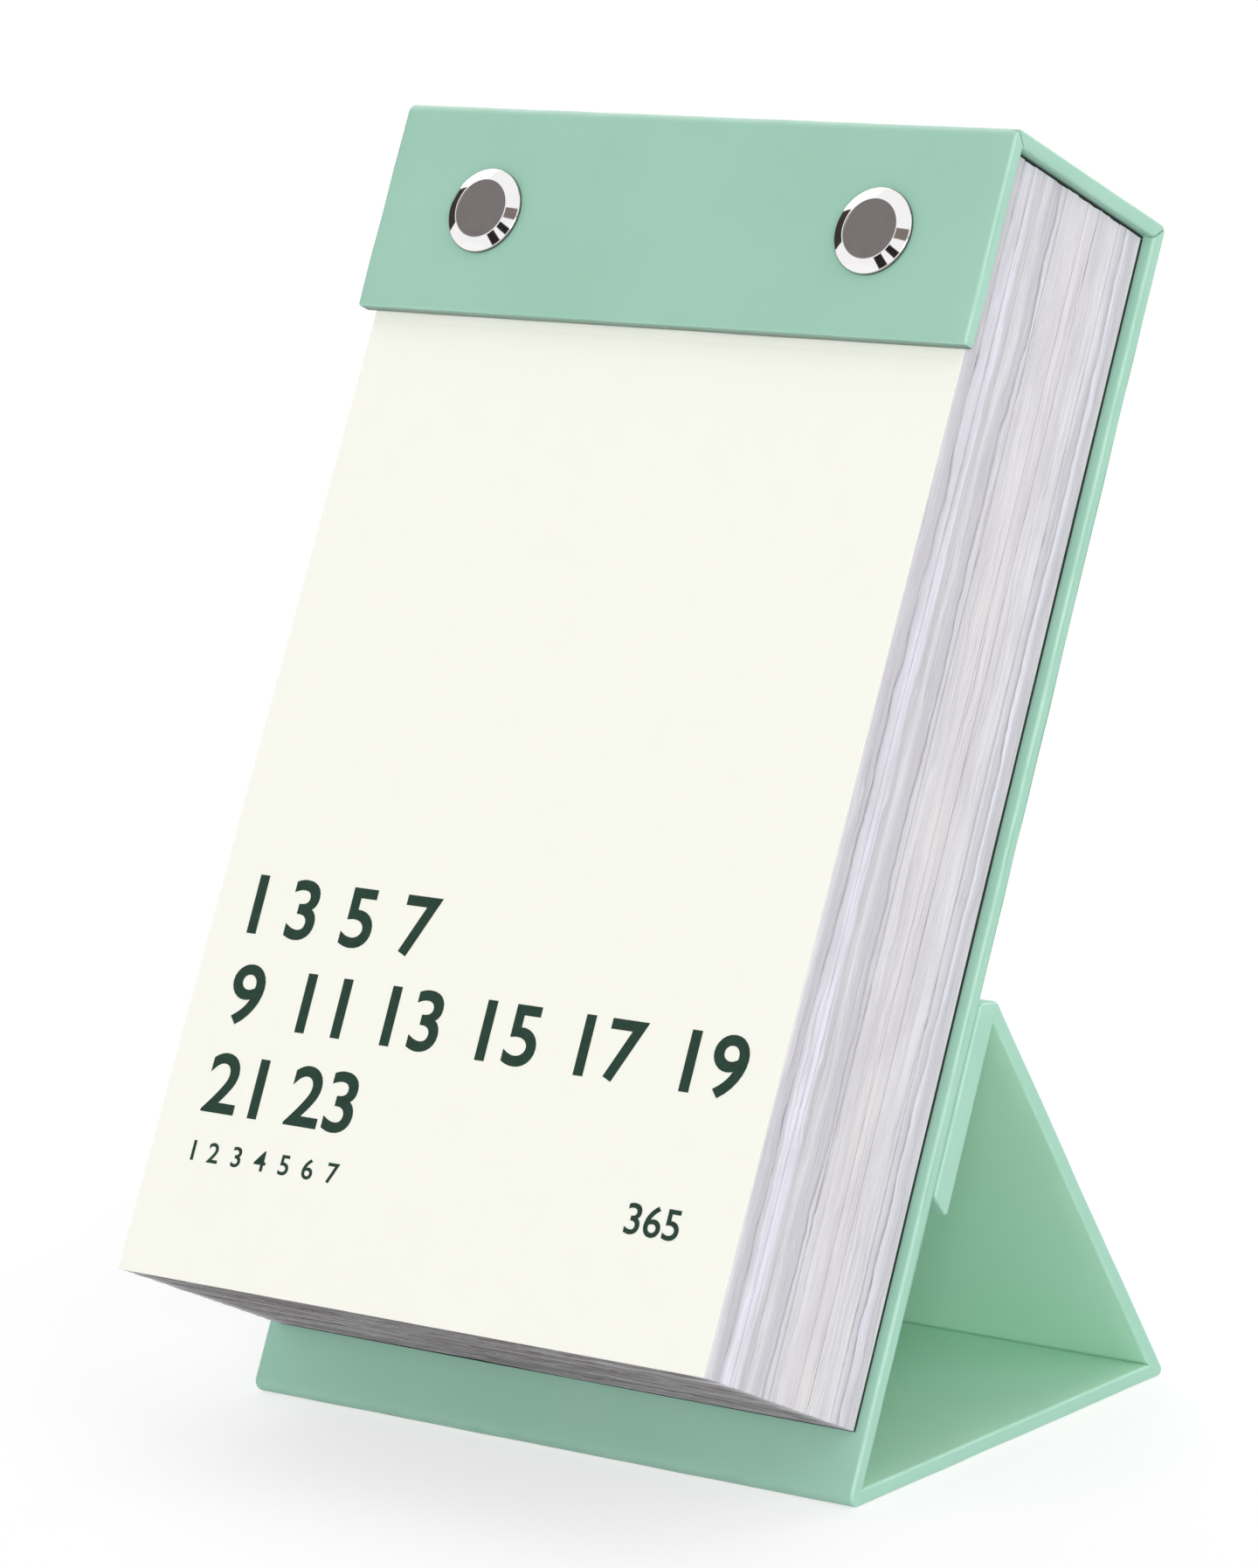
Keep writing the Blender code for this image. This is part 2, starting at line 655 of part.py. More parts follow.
BACK_MAGNET_REAR = -INNER_STEP - BOARD_CLEARANCE
FLAP_MAGNET_FRONT = FLAP_CONTACT_Y + INNER_STEP
for side, x in (("left", -MAGNET_OFFSET_X), ("right", MAGNET_OFFSET_X)):
    disc(
        f"back_magnet_{side}",
        MAGNET_RADIUS,
        x,
        BACK_MAGNET_REAR - BACK_MAGNET_THICKNESS,
        BACK_MAGNET_REAR,
        MAGNET_HEIGHT,
        BACK_FRAME,
        MAGNET,
    )
    disc(
        f"flap_magnet_{side}",
        MAGNET_RADIUS,
        x,
        FLAP_MAGNET_FRONT,
        FLAP_MAGNET_FRONT + FLAP_MAGNET_THICKNESS,
        FLAP_MAGNET_Z,
        FLAP_FRAME,
        MAGNET,
    )

# Cloth of the three folds, drawn on the lines that the boards' faces lie on
FACE_STEP = FOLD_HEIGHT - FOLD_RADIUS  # the cloth lies this far inside the boards' faces

def fold_point(axis, along, out, length, offset, radius=0.0):
    """An outline corner at a length along a board and an offset out of it, from an axis."""
    point = Vector(axis) + along * length + out * offset
    return (point.x, point.y, radius)


GROUND = Vector((1.0, 0.0))
UPRIGHT = Vector((0.0, 1.0))
INNER_FACE = BASE_TOP - FACE_STEP
front_end = BACK_FOLD_GAP - FOLD_CLEARANCE
front_toe = meeting(
    Vector(FRONT_AXIS) - BACK_OUT * FOLD_RADIUS, BACK_UP,
    Vector(FRONT_AXIS) - UPRIGHT * FOLD_RADIUS, GROUND,
)
crease(
    "back_to_base_crease",
    [
        fold_point(FRONT_AXIS, BACK_UP, BACK_OUT, front_end, -FOLD_RADIUS),
        (front_toe.x, front_toe.y, FOLD_RADIUS),
        fold_point(FRONT_AXIS, GROUND, UPRIGHT, front_end, -FOLD_RADIUS),
        fold_point(FRONT_AXIS, GROUND, UPRIGHT, front_end, INNER_FACE),
        fold_point(FRONT_AXIS, BACK_UP, BACK_OUT, front_end, INNER_FACE),
    ],
    BASE_FRAME,
)
rear_end = STRUT_FOLD_GAP - FOLD_CLEARANCE
rear_toe = meeting(
    Vector(REAR_AXIS) - UPRIGHT * FOLD_RADIUS, GROUND,
    Vector(REAR_AXIS) + STRUT_OUT * FOLD_RADIUS, STRUT_UP,
)
crease(
    "base_to_strut_crease",
    [
        fold_point(REAR_AXIS, GROUND, UPRIGHT, -rear_end, -FOLD_RADIUS),
        (rear_toe.x, rear_toe.y, FOLD_RADIUS),
        fold_point(REAR_AXIS, STRUT_UP, STRUT_OUT, rear_end, FOLD_RADIUS),
        fold_point(REAR_AXIS, STRUT_UP, STRUT_OUT, rear_end, -INNER_FACE),
        fold_point(REAR_AXIS, GROUND, UPRIGHT, -rear_end, INNER_FACE),
    ],
    STRUT_FRAME,
)
strut_line = Vector(REAR_AXIS) + STRUT_OUT * FOLD_RADIUS
contact_line = TOP_AXIS + BACK_OUT * (FLAP_CONTACT_Y + FACE_STEP)
cap_front = meeting(contact_line, BACK_UP, (0, TOP_AXIS.y + TOP_CAP_FRONT_RISE), GROUND)
cap_rear = meeting(strut_line, STRUT_UP, (0, TOP_AXIS.y + TOP_CAP_REAR_RISE), GROUND)
strut_end = STRUT_LAST + FOLD_CLEARANCE
flap_end = -TOP_FLAP_GAP + FOLD_CLEARANCE
crease(
    "strut_to_flap_crease",
    [
        fold_point(TOP_AXIS, BACK_UP, BACK_OUT, flap_end, FLAP_REAR_Y - FACE_STEP),
        fold_point(REAR_AXIS, STRUT_UP, STRUT_OUT, strut_end, STRUT_INNER - TOP_INNER_STEP),
        fold_point(REAR_AXIS, STRUT_UP, STRUT_OUT, strut_end, FOLD_RADIUS),
        (cap_rear.x, cap_rear.y, TOP_FOLD_RADIUS),
        (cap_front.x, cap_front.y, TOP_FOLD_RADIUS),
        fold_point(TOP_AXIS, BACK_UP, BACK_OUT, flap_end, FLAP_CONTACT_Y + FACE_STEP),
    ],
    FLAP_FRAME,
)

# The block: backing card, twelve gatherings, head tape and the front sheet in two parts
PAGE_X = PAGE_WIDTH / 2
backing_card = box(
    "backing_card",
    (-PAGE_X, -BACKING_FRONT, PAGE_LOWER_END),
    (PAGE_X, -PANEL_THICKNESS - LAYER_GAP, PAGE_TOP),
    BACK_FRAME,
    BLACK_CARD,
)
cut(backing_card, *post_holes)
for number in range(GATHERINGS):
    rear = GATHERINGS_REAR + number * GATHERING_PITCH
    shift = GATHERING_SHIFT * math.sin(GATHERING_SHIFT_TURN * number)
    gathering = box(
        f"gathering_{number + 1:02d}",
        (-PAGE_X + shift, -rear - GATHERING_THICKNESS, PAGE_LOWER_END),
        (PAGE_X + shift, -rear, PAGE_TOP),
        BACK_FRAME,
        PAPER,
    )
    cut(gathering, *post_holes)
box(
    "head_tape",
    (-PAGE_X, -SHEET_FRONT, TAPE_TOP - TAPE_THICKNESS),
    (PAGE_X, -PANEL_THICKNESS - LAYER_GAP, TAPE_TOP),
    BACK_FRAME,
    BLACK_TAPE,
)
front_sheet_stub = box(
    "front_sheet_stub",
    (-PAGE_X, -SHEET_FRONT, PERFORATION + PERFORATION_GAP / 2),
    (PAGE_X, -SHEET_REAR, PAGE_TOP),
    BACK_FRAME,
    FRONT_PAPER,
)
cut(front_sheet_stub, *post_holes)
box(
    "front_sheet",
    (-PAGE_X, 0, PAGE_LOWER_END - PERFORATION),
    (PAGE_X, FRONT_SHEET_THICKNESS, -PERFORATION_GAP / 2),
    SHEET_FRAME,
    FRONT_PAPER,
)

# Screw posts: a barrel with a coned head in front, and a slotted screw into it from behind
HEAD_SEAT = STRIP_FRONT + HEAD_SEAT_GAP
HEAD_TOP = STRIP_FRONT + HEAD_HEIGHT
POST_END = 0.2
HEAD_LIP = 0.15
SCREW_CHAMFER = 0.3
for side, x in (("left", -POST_OFFSET_X), ("right", POST_OFFSET_X)):
    post = turned(
        f"screw_post_{side}",
        [
            (0, HEAD_TOP),
            (HEAD_FACE_RADIUS - HEAD_LIP, HEAD_TOP),
            (HEAD_FACE_RADIUS, HEAD_TOP - HEAD_LIP),
            (HEAD_RADIUS - HEAD_LIP, HEAD_SEAT + HEAD_RIM + HEAD_LIP),
            (HEAD_RADIUS, HEAD_SEAT + HEAD_RIM),
            (HEAD_RADIUS, HEAD_SEAT),
            (POST_RADIUS, HEAD_SEAT),
            (POST_RADIUS, POST_END),
            (POST_BORE_RADIUS, POST_END),
            (POST_BORE_RADIUS, POST_BORE_DEPTH),
            (0, POST_BORE_DEPTH),
        ],
        x,
        POST_HEIGHT,
        BACK_FRAME,
        CHROME,
    )
    screw = turned(
        f"post_screw_{side}",
        [
            (0, SCREW_LENGTH),
            (SCREW_RADIUS - SCREW_CHAMFER, SCREW_LENGTH),
            (SCREW_RADIUS, SCREW_LENGTH - SCREW_CHAMFER),
            (SCREW_RADIUS, -HEAD_SEAT_GAP),
            (SCREW_HEAD_RADIUS, -HEAD_SEAT_GAP),
            (SCREW_HEAD_RADIUS, -SCREW_HEAD_HEIGHT + SCREW_CHAMFER),
            (SCREW_HEAD_RADIUS - SCREW_CHAMFER, -SCREW_HEAD_HEIGHT),
            (0, -SCREW_HEAD_HEIGHT),
        ],
        x,
        POST_HEIGHT,
        BACK_FRAME,
        STEEL,
    )
    slot = box_cutter(
        f"post_screw_slot_{side}",
        (x - 2 * SCREW_HEAD_RADIUS, SCREW_HEAD_HEIGHT - SLOT_DEPTH, POST_HEIGHT - SLOT_WIDTH / 2),
        (x + 2 * SCREW_HEAD_RADIUS, SCREW_HEAD_HEIGHT + SLOT_DEPTH, POST_HEIGHT + SLOT_WIDTH / 2),
        BACK_FRAME,
    )
    cut(screw, slot)
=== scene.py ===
"""Looks of a thick desk tear-off calendar in a mint hard case that folds into its own stand.

Every piece is modelled in millimetres in the frame of the board that it belongs to, and then
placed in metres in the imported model's frame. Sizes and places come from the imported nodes.
"""

import json
import math

import bmesh
import bpy
from mathutils import Matrix, Vector, noise


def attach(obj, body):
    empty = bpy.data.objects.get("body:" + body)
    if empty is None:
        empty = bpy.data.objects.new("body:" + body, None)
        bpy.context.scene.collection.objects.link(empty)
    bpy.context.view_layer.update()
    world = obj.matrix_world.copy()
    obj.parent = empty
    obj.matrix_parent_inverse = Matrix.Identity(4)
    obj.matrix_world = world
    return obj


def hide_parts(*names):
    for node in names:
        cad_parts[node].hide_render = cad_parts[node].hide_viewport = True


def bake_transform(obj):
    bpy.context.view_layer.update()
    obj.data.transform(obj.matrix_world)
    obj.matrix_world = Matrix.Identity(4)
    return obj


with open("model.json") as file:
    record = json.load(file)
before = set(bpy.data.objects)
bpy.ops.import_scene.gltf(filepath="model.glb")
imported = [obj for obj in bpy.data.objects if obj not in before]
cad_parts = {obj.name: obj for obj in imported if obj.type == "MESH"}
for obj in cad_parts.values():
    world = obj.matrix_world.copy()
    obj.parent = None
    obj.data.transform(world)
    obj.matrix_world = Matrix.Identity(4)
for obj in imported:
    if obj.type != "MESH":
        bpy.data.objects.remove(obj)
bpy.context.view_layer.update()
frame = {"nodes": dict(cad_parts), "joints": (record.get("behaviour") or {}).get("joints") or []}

# Lengths are in mm and angles in degrees where nothing else is said
MM = 0.001
ROUNDING = 0.001  # places that are equal but for rounding differ by less
STRAIGHT = 0.001  # sine of a turn that is too slight to count as a corner
SMOOTH_DEG = 38  # faces that meet at less than this are shaded as one

# Camera, fitted to the edges and corners of the photograph
IMAGE_WIDTH_PX = 1440
FOCAL_PX = 7526
SENSOR_WIDTH = 36.0
CAMERA_YAW_DEG = 38.13  # towards the object's right
CAMERA_PITCH_DEG = 11.13  # downwards
CAMERA_ROLL_DEG = -1.85
CAMERA_DISTANCE = 905.7
CAMERA_AIM = (-0.55, -1.89, 88.9)

# Wrapped boards
RIM_REACH = 0.6  # how far in from a board's side its rounded rim reaches
RIM_DROP = 0.45  # how much thinner the board is at its very side
RIM_STEPS = 7
ARC_STEPS = 7
STATION_GAP = 3.5  # between the cross-sections along the width
OUTLINE_GAP = 3.0  # between the points along an outline
LONGEST_MOVE = 1.04  # how far a sharp corner moves in, at most, when its edges move in by 1
UNEVEN_FACE = 0.03  # depth of the wrap's slow waves on a board's faces
UNEVEN_RIM = 0.14  # and round its edges
UNEVEN_LENGTH = 9.0
UNEVEN_SWING = 0.9  # above 0.5, the waves flatten out at their highest and lowest
HEAD_FRONT_RADIUS = 1.5
HEAD_REAR_RADIUS = 1.1
HEAD_INNER_RADIUS = 0.3
FREE_END_RADII = (0.4, 0.3)  # the strip's lower edge, on its front and on the leaves' side
FREE_EDGE_LINE = 0.12  # how far up the strip the painted shadow under its free edge reaches
TOE_RADIUS = 1.6
HEEL_RADIUS = 0.9
FLAP_END_SLANT = 1.9  # how much higher the flap's free end is on its front than on its back
FLAP_END_RADII = (0.6, 0.45)
ARC_SHEEN = 0.5  # how much the cloth is painted paler round an edge, as a painted highlight, where 1 is as round a side
FOLD_GROOVE = 0.3  # how far the cloth sinks into the corner inside a fold
TOP_FOLD_RADIUS = 0.9
TOP_CAP_FRONT_RISE = 1.6  # the fold's top above its axis, on the flap's side
TOP_CAP_REAR_RISE = 1.1  # and on the strut's
MITRE_WIDTH = 0.34
MITRE_DEPTH = 1.5
MITRE_OVERRUN = 0.5

# Leaves
LEAVES_PER_GATHERING = 15  # each drawn leaf stands for two, which is as fine as the view shows
LEAF_ALONG = 4.0  # between points along a leaf's edge
VALLEY_SHARE = 0.16  # share of a leaf's pitch that the gap beside it takes
VALLEY_DEPTH = 0.06
VALLEY_MEAN = 0.6  # share of its depth that a gap has on average
CLUMP_GAP_DEPTH = 1.2
CLUMP_GAPS = {  # by gathering, the leaves with an open gap behind them, counted from its front
    12: (3, 7, 11), 11: (1, 8), 10: (5, 12), 9: (8,), 7: (4,), 5: (11,), 2: (6,)}
BLOCK_DEPTH = 33.5
BLOCK_LEAN = 1.5  # how far left the foot of the front leaves has slipped
LEAN_CURVE = 1.5  # power at which the slip grows towards the front
SHEET_THICKNESS = 0.14
SHEET_ALONG = 3.0
SHEET_BEND = 6.0  # length of paper that bends where the front leaf turns
BEND_STEPS = 10
SHEET_BOW = 0.03
PERFORATION_DEPTH = 0.015
PERFORATION_REACH = 0.12  # of its groove, up and down
PRINT_THICKNESS = 0.012
CARD_ROUNDING = 0.06  # of the backing card and the head tape

# Waves of the leaves: how many drawn leaves apart, how far apart along the edge, a seed, and reach
SLOW_SLIP = (8, 60, 3.0, 0.12)
QUICK_SLIP = (1.7, 24, 11.0, 0.064)
SLOW_FOOT = (5, 60, 23.0, 0.24)
QUICK_FOOT = (1.3, 30, 31.0, 0.16)
VALLEY_WAVE = (1, 35, 41.0, 0.8)  # its reach is a share of the gap's depth
SHEET_WAVE = (34, 48, 5.0, SHEET_BOW)  # the first two across and along the front leaf

# Tones of the leaf edges
PAPER_PALE = "#D9D8DC"
PAPER_GREY = "#C2C0C6"
PAPER_LILAC = "#DFDEE8"
PAPER_WARM = "#D8D5D6"
PAPER_GAP_SHADE = "#827D8A"  # painted shade, where two clumps of leaves stand apart
LEAF_BANDS = (  # share of the block's depth behind its front, and the leaves' tone from there on
    (0.00, PAPER_PALE), (0.05, PAPER_GREY), (0.082, PAPER_GREY), (0.090, PAPER_GAP_SHADE),
    (0.098, PAPER_GREY), (0.12, PAPER_LILAC), (0.20, PAPER_LILAC), (0.22, PAPER_GREY),
    (0.28, PAPER_PALE), (0.33, PAPER_GREY), (0.375, PAPER_GREY), (0.382, PAPER_GAP_SHADE),
    (0.392, PAPER_PALE), (0.58, PAPER_WARM), (0.84, PAPER_PALE), (0.882, PAPER_GREY),
    (0.888, PAPER_GAP_SHADE), (0.896, PAPER_LILAC), (0.92, PAPER_LILAC), (0.95, PAPER_GREY),
    (1.00, PAPER_PALE),
)
LEAF_STREAKS = (  # length, thickness, detail, noise at which they start and are full, share, tone
    (90.0, 1.20, 3.0, 0.44, 0.62, 0.50, PAPER_GREY),
    (70.0, 0.60, 3.0, 0.56, 0.72, 0.50, PAPER_LILAC),
    (16.0, 3.40, 4.0, 0.42, 0.64, 0.45, PAPER_GREY),
    (22.0, 0.40, 3.0, 0.54, 0.70, 0.50, "#A9A3A8"),
    (12.0, 0.30, 3.0, 0.58, 0.74, 0.45, "#ECEBEF"),
)
LEAF_SWAYS = ((28.0, 9.0, 0.9), (5.0, 3.0, 0.24))  # length, thickness, and reach to each side
FOOT_SHADE_STREAKS = (60.0, 0.50, 3.0)  # length, thickness and detail of the painted shade streaks at the foot
LEAF_RELIEF = (45.0, 0.32, 3.0)  # and of the leaves' ridges

# Screw posts
HEAD_STEPS = 96
HEAD_FACE_SHARE = 0.70  # of the head's radius
FACE_EDGE = 0.12  # width over which the satin face turns into the bright bevel
FOOT_SHADE_LINE = (0.16, 0.02)  # how far in from the rim the painted shade line at its foot starts and is full
HEAD_HEIGHT = 1.42
HEAD_WALL = (  # how far in from the rim, and how high
    (0.30, 0.02), (0.12, 0.06), (0.02, 0.14), (0.0, 0.22), (0.0, 0.46), (0.05, 0.58), (0.12, 0.66))
BEVEL_ENDS = (0.12, 0.20)  # gaps that the bevel leaves to the face and to the rim
BEVEL_STEPS = (1.0, 0.96, 0.75, 0.5, 0.25, 0.04, 0.0)  # shares of its width, from the rim inwards
BEVEL_TOP = 0.04  # below the head's top
BEVEL_FALL = 0.40  # how steeply the bevel leaves the face, and how much steeper it gets outwards
BEVEL_CURVE = 0.03
FACE_RIM = ((0.04, 0.01), (-0.04, 0.0), (-0.12, 0.02), (-0.20, 0.08))  # beyond the face, below top
FACE_DISH = 0.09
FACE_RINGS_PER_MM = 9.0
MIDDLE_RADIUS = 0.2
SCREW_WALL = ((0.1, 0.02), (0.0, 0.10))  # how far in from the rim, and how high
SCREW_CROWN = ((0.0, 0.34), (0.07, 0.18), (0.2, 0.06), (0.4, 0.0))  # in from the rim, below the top
SLOT_WIDTH = 0.9
SLOT_DEPTH = 0.5

# Plain numbers printed on the front leaf: x where a row starts, z of its foot below the
# perforation, height, swelling of the strokes, gap between numbers, and the numbers themselves
PRINTED_ROWS = (
    (-45.0, -89.6, 8.6, 0.19, 4.9, (1, 3, 5, 7)),
    (-45.0, -102.4, 8.6, 0.19, 7.1, (9, 11, 13, 15, 17, 19)),
    (-45.0, -115.2, 8.6, 0.19, 4.8, (21, 23)),
    (-44.6, -122.3, 2.9, 0.05, 2.4, (1, 2, 3, 4, 5, 6, 7)),
    (31.0, -122.2, 4.3, 0.06, 0.0, (365,)),
)
WIDENED = 1.08  # how much broader than the plain typeface the figures are
FIGURE_SHARE = 0.73  # height of the typeface's figures as a share of its size

# Studio
FLOOR_SIZE = 6.0  # in metres
FLOOR_SHOWN = 0.42  # the floor's own white as the camera sees it, which keeps shadows light
FLOOR_BOUNCE = 0.82  # and as it lights the object
FLOOR_LIFT = 0.64  # light that the floor adds of its own to what the camera sees
WHITE = (1.0, 1.0, 1.0, 1.0)
HEADS_MIDDLE = (0.0, 0.012, 0.166)  # in metres, as are the cards' centres and sizes
CARDS = (  # tone, centre, width and height, and tilt
    ("black_card_low", "#14110F", (-0.26, -1.45, 0.29), 0.56, 0.30, 52),
    ("black_card_middle", "#14110F", (0.07, -1.42, 0.60), 0.52, 0.23, 33),
    ("brown_card_high", "#8B817A", (0.24, -1.18, 1.06), 0.50, 0.36, 3),
    ("brown_card_left", "#2E2822", (-1.43, 0.01, 0.55), 0.70, 0.45, 38),
)
AMBIENT = 0.455
LAMPS = (  # azimuth, elevation, spread and level
    ("front_softbox", 40, 12, 24, 0.485),
    ("right_softbox", 86, 34, 50, 0.225),
    ("rear_softbox", 170, 25, 50, 0.28),
    ("left_softbox", 245, 35, 50, 0.26),
)

# Places that the frame gives
JOINTS = {joint["name"]: joint for joint in frame["joints"]}
LEAN = math.radians(JOINTS["stand_base_fold"]["range_deg"][1] - 90)
STRUT_SLOPE = math.radians(180 - JOINTS["stand_strut_fold"]["range_deg"][1])


def frame_at(joint, turn):
    """A frame whose origin is the middle of a joint's axis, turned about x."""
    return Matrix.Translation(JOINTS[joint]["pos_m"]) @ Matrix.Rotation(turn, 4, "X")


BACK_PLACE = frame_at("stand_base_fold", -LEAN)
BASE_PLACE = frame_at("stand_base_fold", 0)
STRUT_PLACE = frame_at("stand_strut_fold", math.pi / 2 - STRUT_SLOPE)
FLAP_PLACE = frame_at("stand_flap_fold", -LEAN)
SHEET_PLACE = frame_at("front_sheet_turn", -LEAN)


def box_in(node, place):
    """Lowest and highest corners, in mm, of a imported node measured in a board's frame."""
    inverse = place.inverted()
    points = [inverse @ vert.co / MM for vert in frame["nodes"][node].data.vertices]
    low = Vector([min(point[axis] for point in points) for axis in range(3)])
    high = Vector([max(point[axis] for point in points) for axis in range(3)])
    return low, high


BACK_LOW, BACK_HIGH = box_in("back_cover", BACK_PLACE)
SPINE_LOW, SPINE_HIGH = box_in("spine_cover", BACK_PLACE)
STRIP_LOW, STRIP_HIGH = box_in("strip_cover", BACK_PLACE)
BASE_LOW, BASE_HIGH = box_in("base_cover", BASE_PLACE)
STRUT_LOW, STRUT_HIGH = box_in("strut_cover", STRUT_PLACE)
FLAP_LOW, FLAP_HIGH = box_in("flap_cover", FLAP_PLACE)
CASE_WIDTH = BACK_HIGH.x - BACK_LOW.x
BLOCK_REAR = box_in("gathering_01", BACK_PLACE)[1].y
BLOCK_FOOT = box_in("gathering_12", BACK_PLACE)[0].z


# Colours and materials


def hex_colour(code):
    """An sRGB hex colour as a linear RGBA value."""
    def channel(start):
        value = int(code[start:start + 2], 16) / 255
        return value / 12.92 if value <= 0.04045 else ((value + 0.055) / 1.055) ** 2.4
    return (channel(1), channel(3), channel(5), 1.0)


def feed(node, inputs):
    """Sets inputs of a node, each from a value or from another node's output."""
    for socket, value in inputs.items():
        if isinstance(value, bpy.types.NodeSocket):
            node.id_data.links.new(value, node.inputs[socket])
        else:
            node.inputs[socket].default_value = value


def add(tree, kind, inputs=None, **settings):
    """Adds a node with its settings, and feeds its inputs."""
    made = tree.nodes.new(kind)
    for name, value in settings.items():
        setattr(made, name, value)
    feed(made, inputs or {})
    return made


def new_finish(name):
    """A new material, with its node tree and its shader."""
    made = bpy.data.materials.new(name)
    made.use_nodes = True
    return made, made.node_tree, made.node_tree.nodes["Principled BSDF"]


def marks_apart(size):
    """The scale at which a pattern's marks stand so many mm apart."""
    return 1 / (size * MM)


FACTOR, FIRST, SECOND, MIXED = 0, 6, 7, 2  # places of a colour Mix node's sockets


def two_toned(name, first, second, size, detail, roughness=0.5):
    """A new material whose colour drifts between two tones, in clouds of a size in mm.

    Returns the material with its tree and shader, the place on it, and the clouds' strength.
    """
    made, tree, shader = new_finish(name)
    place = add(tree, "ShaderNodeTexCoord").outputs["Object"]
    clouds = add(tree, "ShaderNodeTexNoise", {
        "Vector": place, "Scale": marks_apart(size), "Detail": detail,
        "Roughness": roughness}).outputs["Fac"]
    colour = add(tree, "ShaderNodeMix", {
        FACTOR: clouds, FIRST: hex_colour(first), SECOND: hex_colour(second)}, data_type="RGBA")
    feed(shader, {"Base Color": colour.outputs[MIXED]})
    return made, tree, shader, place, clouds


def vinyl_bookcloth():
    """Vinyl-coated bookbinding cloth, calendered: an even satin mint with a fine embossed grain.

    Slow mottling, 18 mm wide, keeps the faces from looking painted. The rims get a painted
    highlight:
    the cloth is painted paler over them, in patches 4 mm wide. The faces inside the stand are
    painted a shade paler too, as painted light against the shade there, and a fine painted shadow
    line follows the strip's free edge. The grain's marks are 0.4 to 0.7 mm apart, twice as far as
    real ones, so that they show.
    """
    made, tree, shader = new_finish("mint_vinyl_bookcloth")
    place = add(tree, "ShaderNodeTexCoord").outputs["Object"]
    slow = add(tree, "ShaderNodeTexNoise", {
        "Vector": place, "Scale": marks_apart(18.2), "Detail": 3.0}).outputs["Fac"]
    mottle = add(tree, "ShaderNodeMapRange", {"Value": slow, "From Min": 0.3, "From Max": 0.7})
    face = add(tree, "ShaderNodeMix", {
        FACTOR: mottle.outputs["Result"],
        FIRST: hex_colour("#99C7B3"), SECOND: hex_colour("#9FCBB8")}, data_type="RGBA")
    rim, inside_painted_light, free_edge_shadow = (
        add(tree, "ShaderNodeAttribute", attribute_name=name).outputs["Fac"]
        for name in ("rim", "inside_painted_light", "free_edge_shadow"))
    # Patches 4 mm wide in which the rims' painted highlight is stronger or weaker
    rim_highlight_patches = add(tree, "ShaderNodeTexNoise", {
        "Vector": place, "Scale": marks_apart(4.17), "Detail": 3.0})
    patchy = add(tree, "ShaderNodeMapRange", {
        "Value": rim_highlight_patches.outputs["Fac"], "From Min": 0.3, "From Max": 0.7,
        "To Min": 0.05, "To Max": 0.42})
    rim_highlight = add(tree, "ShaderNodeMath", {
        0: rim, 1: patchy.outputs["Result"]}, operation="MULTIPLY")
    colour = face.outputs[MIXED]
    # Painted light: the inside faces painted paler against their shade, a painted highlight on the
    # rims, and a painted shadow line under the strip's free edge
    for share, tone in (
        (inside_painted_light, "#B4DFC6"), (rim_highlight.outputs[0], "#C6EBDB"), (free_edge_shadow, "#46554D"),
    ):
        colour = add(tree, "ShaderNodeMix", {
            FACTOR: share, FIRST: colour, SECOND: hex_colour(tone)},
            data_type="RGBA").outputs[MIXED]
    grain = add(tree, "ShaderNodeTexNoise", {
        "Vector": place, "Scale": marks_apart(0.385), "Detail": 2.0})
    pores = add(tree, "ShaderNodeTexVoronoi", {"Vector": place, "Scale": marks_apart(0.667)})
    relief = add(tree, "ShaderNodeMath", {
        0: grain.outputs["Fac"], 1: pores.outputs["Distance"]}, operation="ADD")
    bump = add(tree, "ShaderNodeBump", {
        "Height": relief.outputs[0], "Strength": 0.10, "Distance": 0.05 * MM})
    sheen = add(tree, "ShaderNodeMapRange", {"Value": slow, "To Min": 0.36, "To Max": 0.46})
    feed(shader, {
        "Base Color": colour, "Normal": bump.outputs["Normal"],
        "Roughness": sheen.outputs["Result"], "Specular IOR Level": 0.4})
    return made


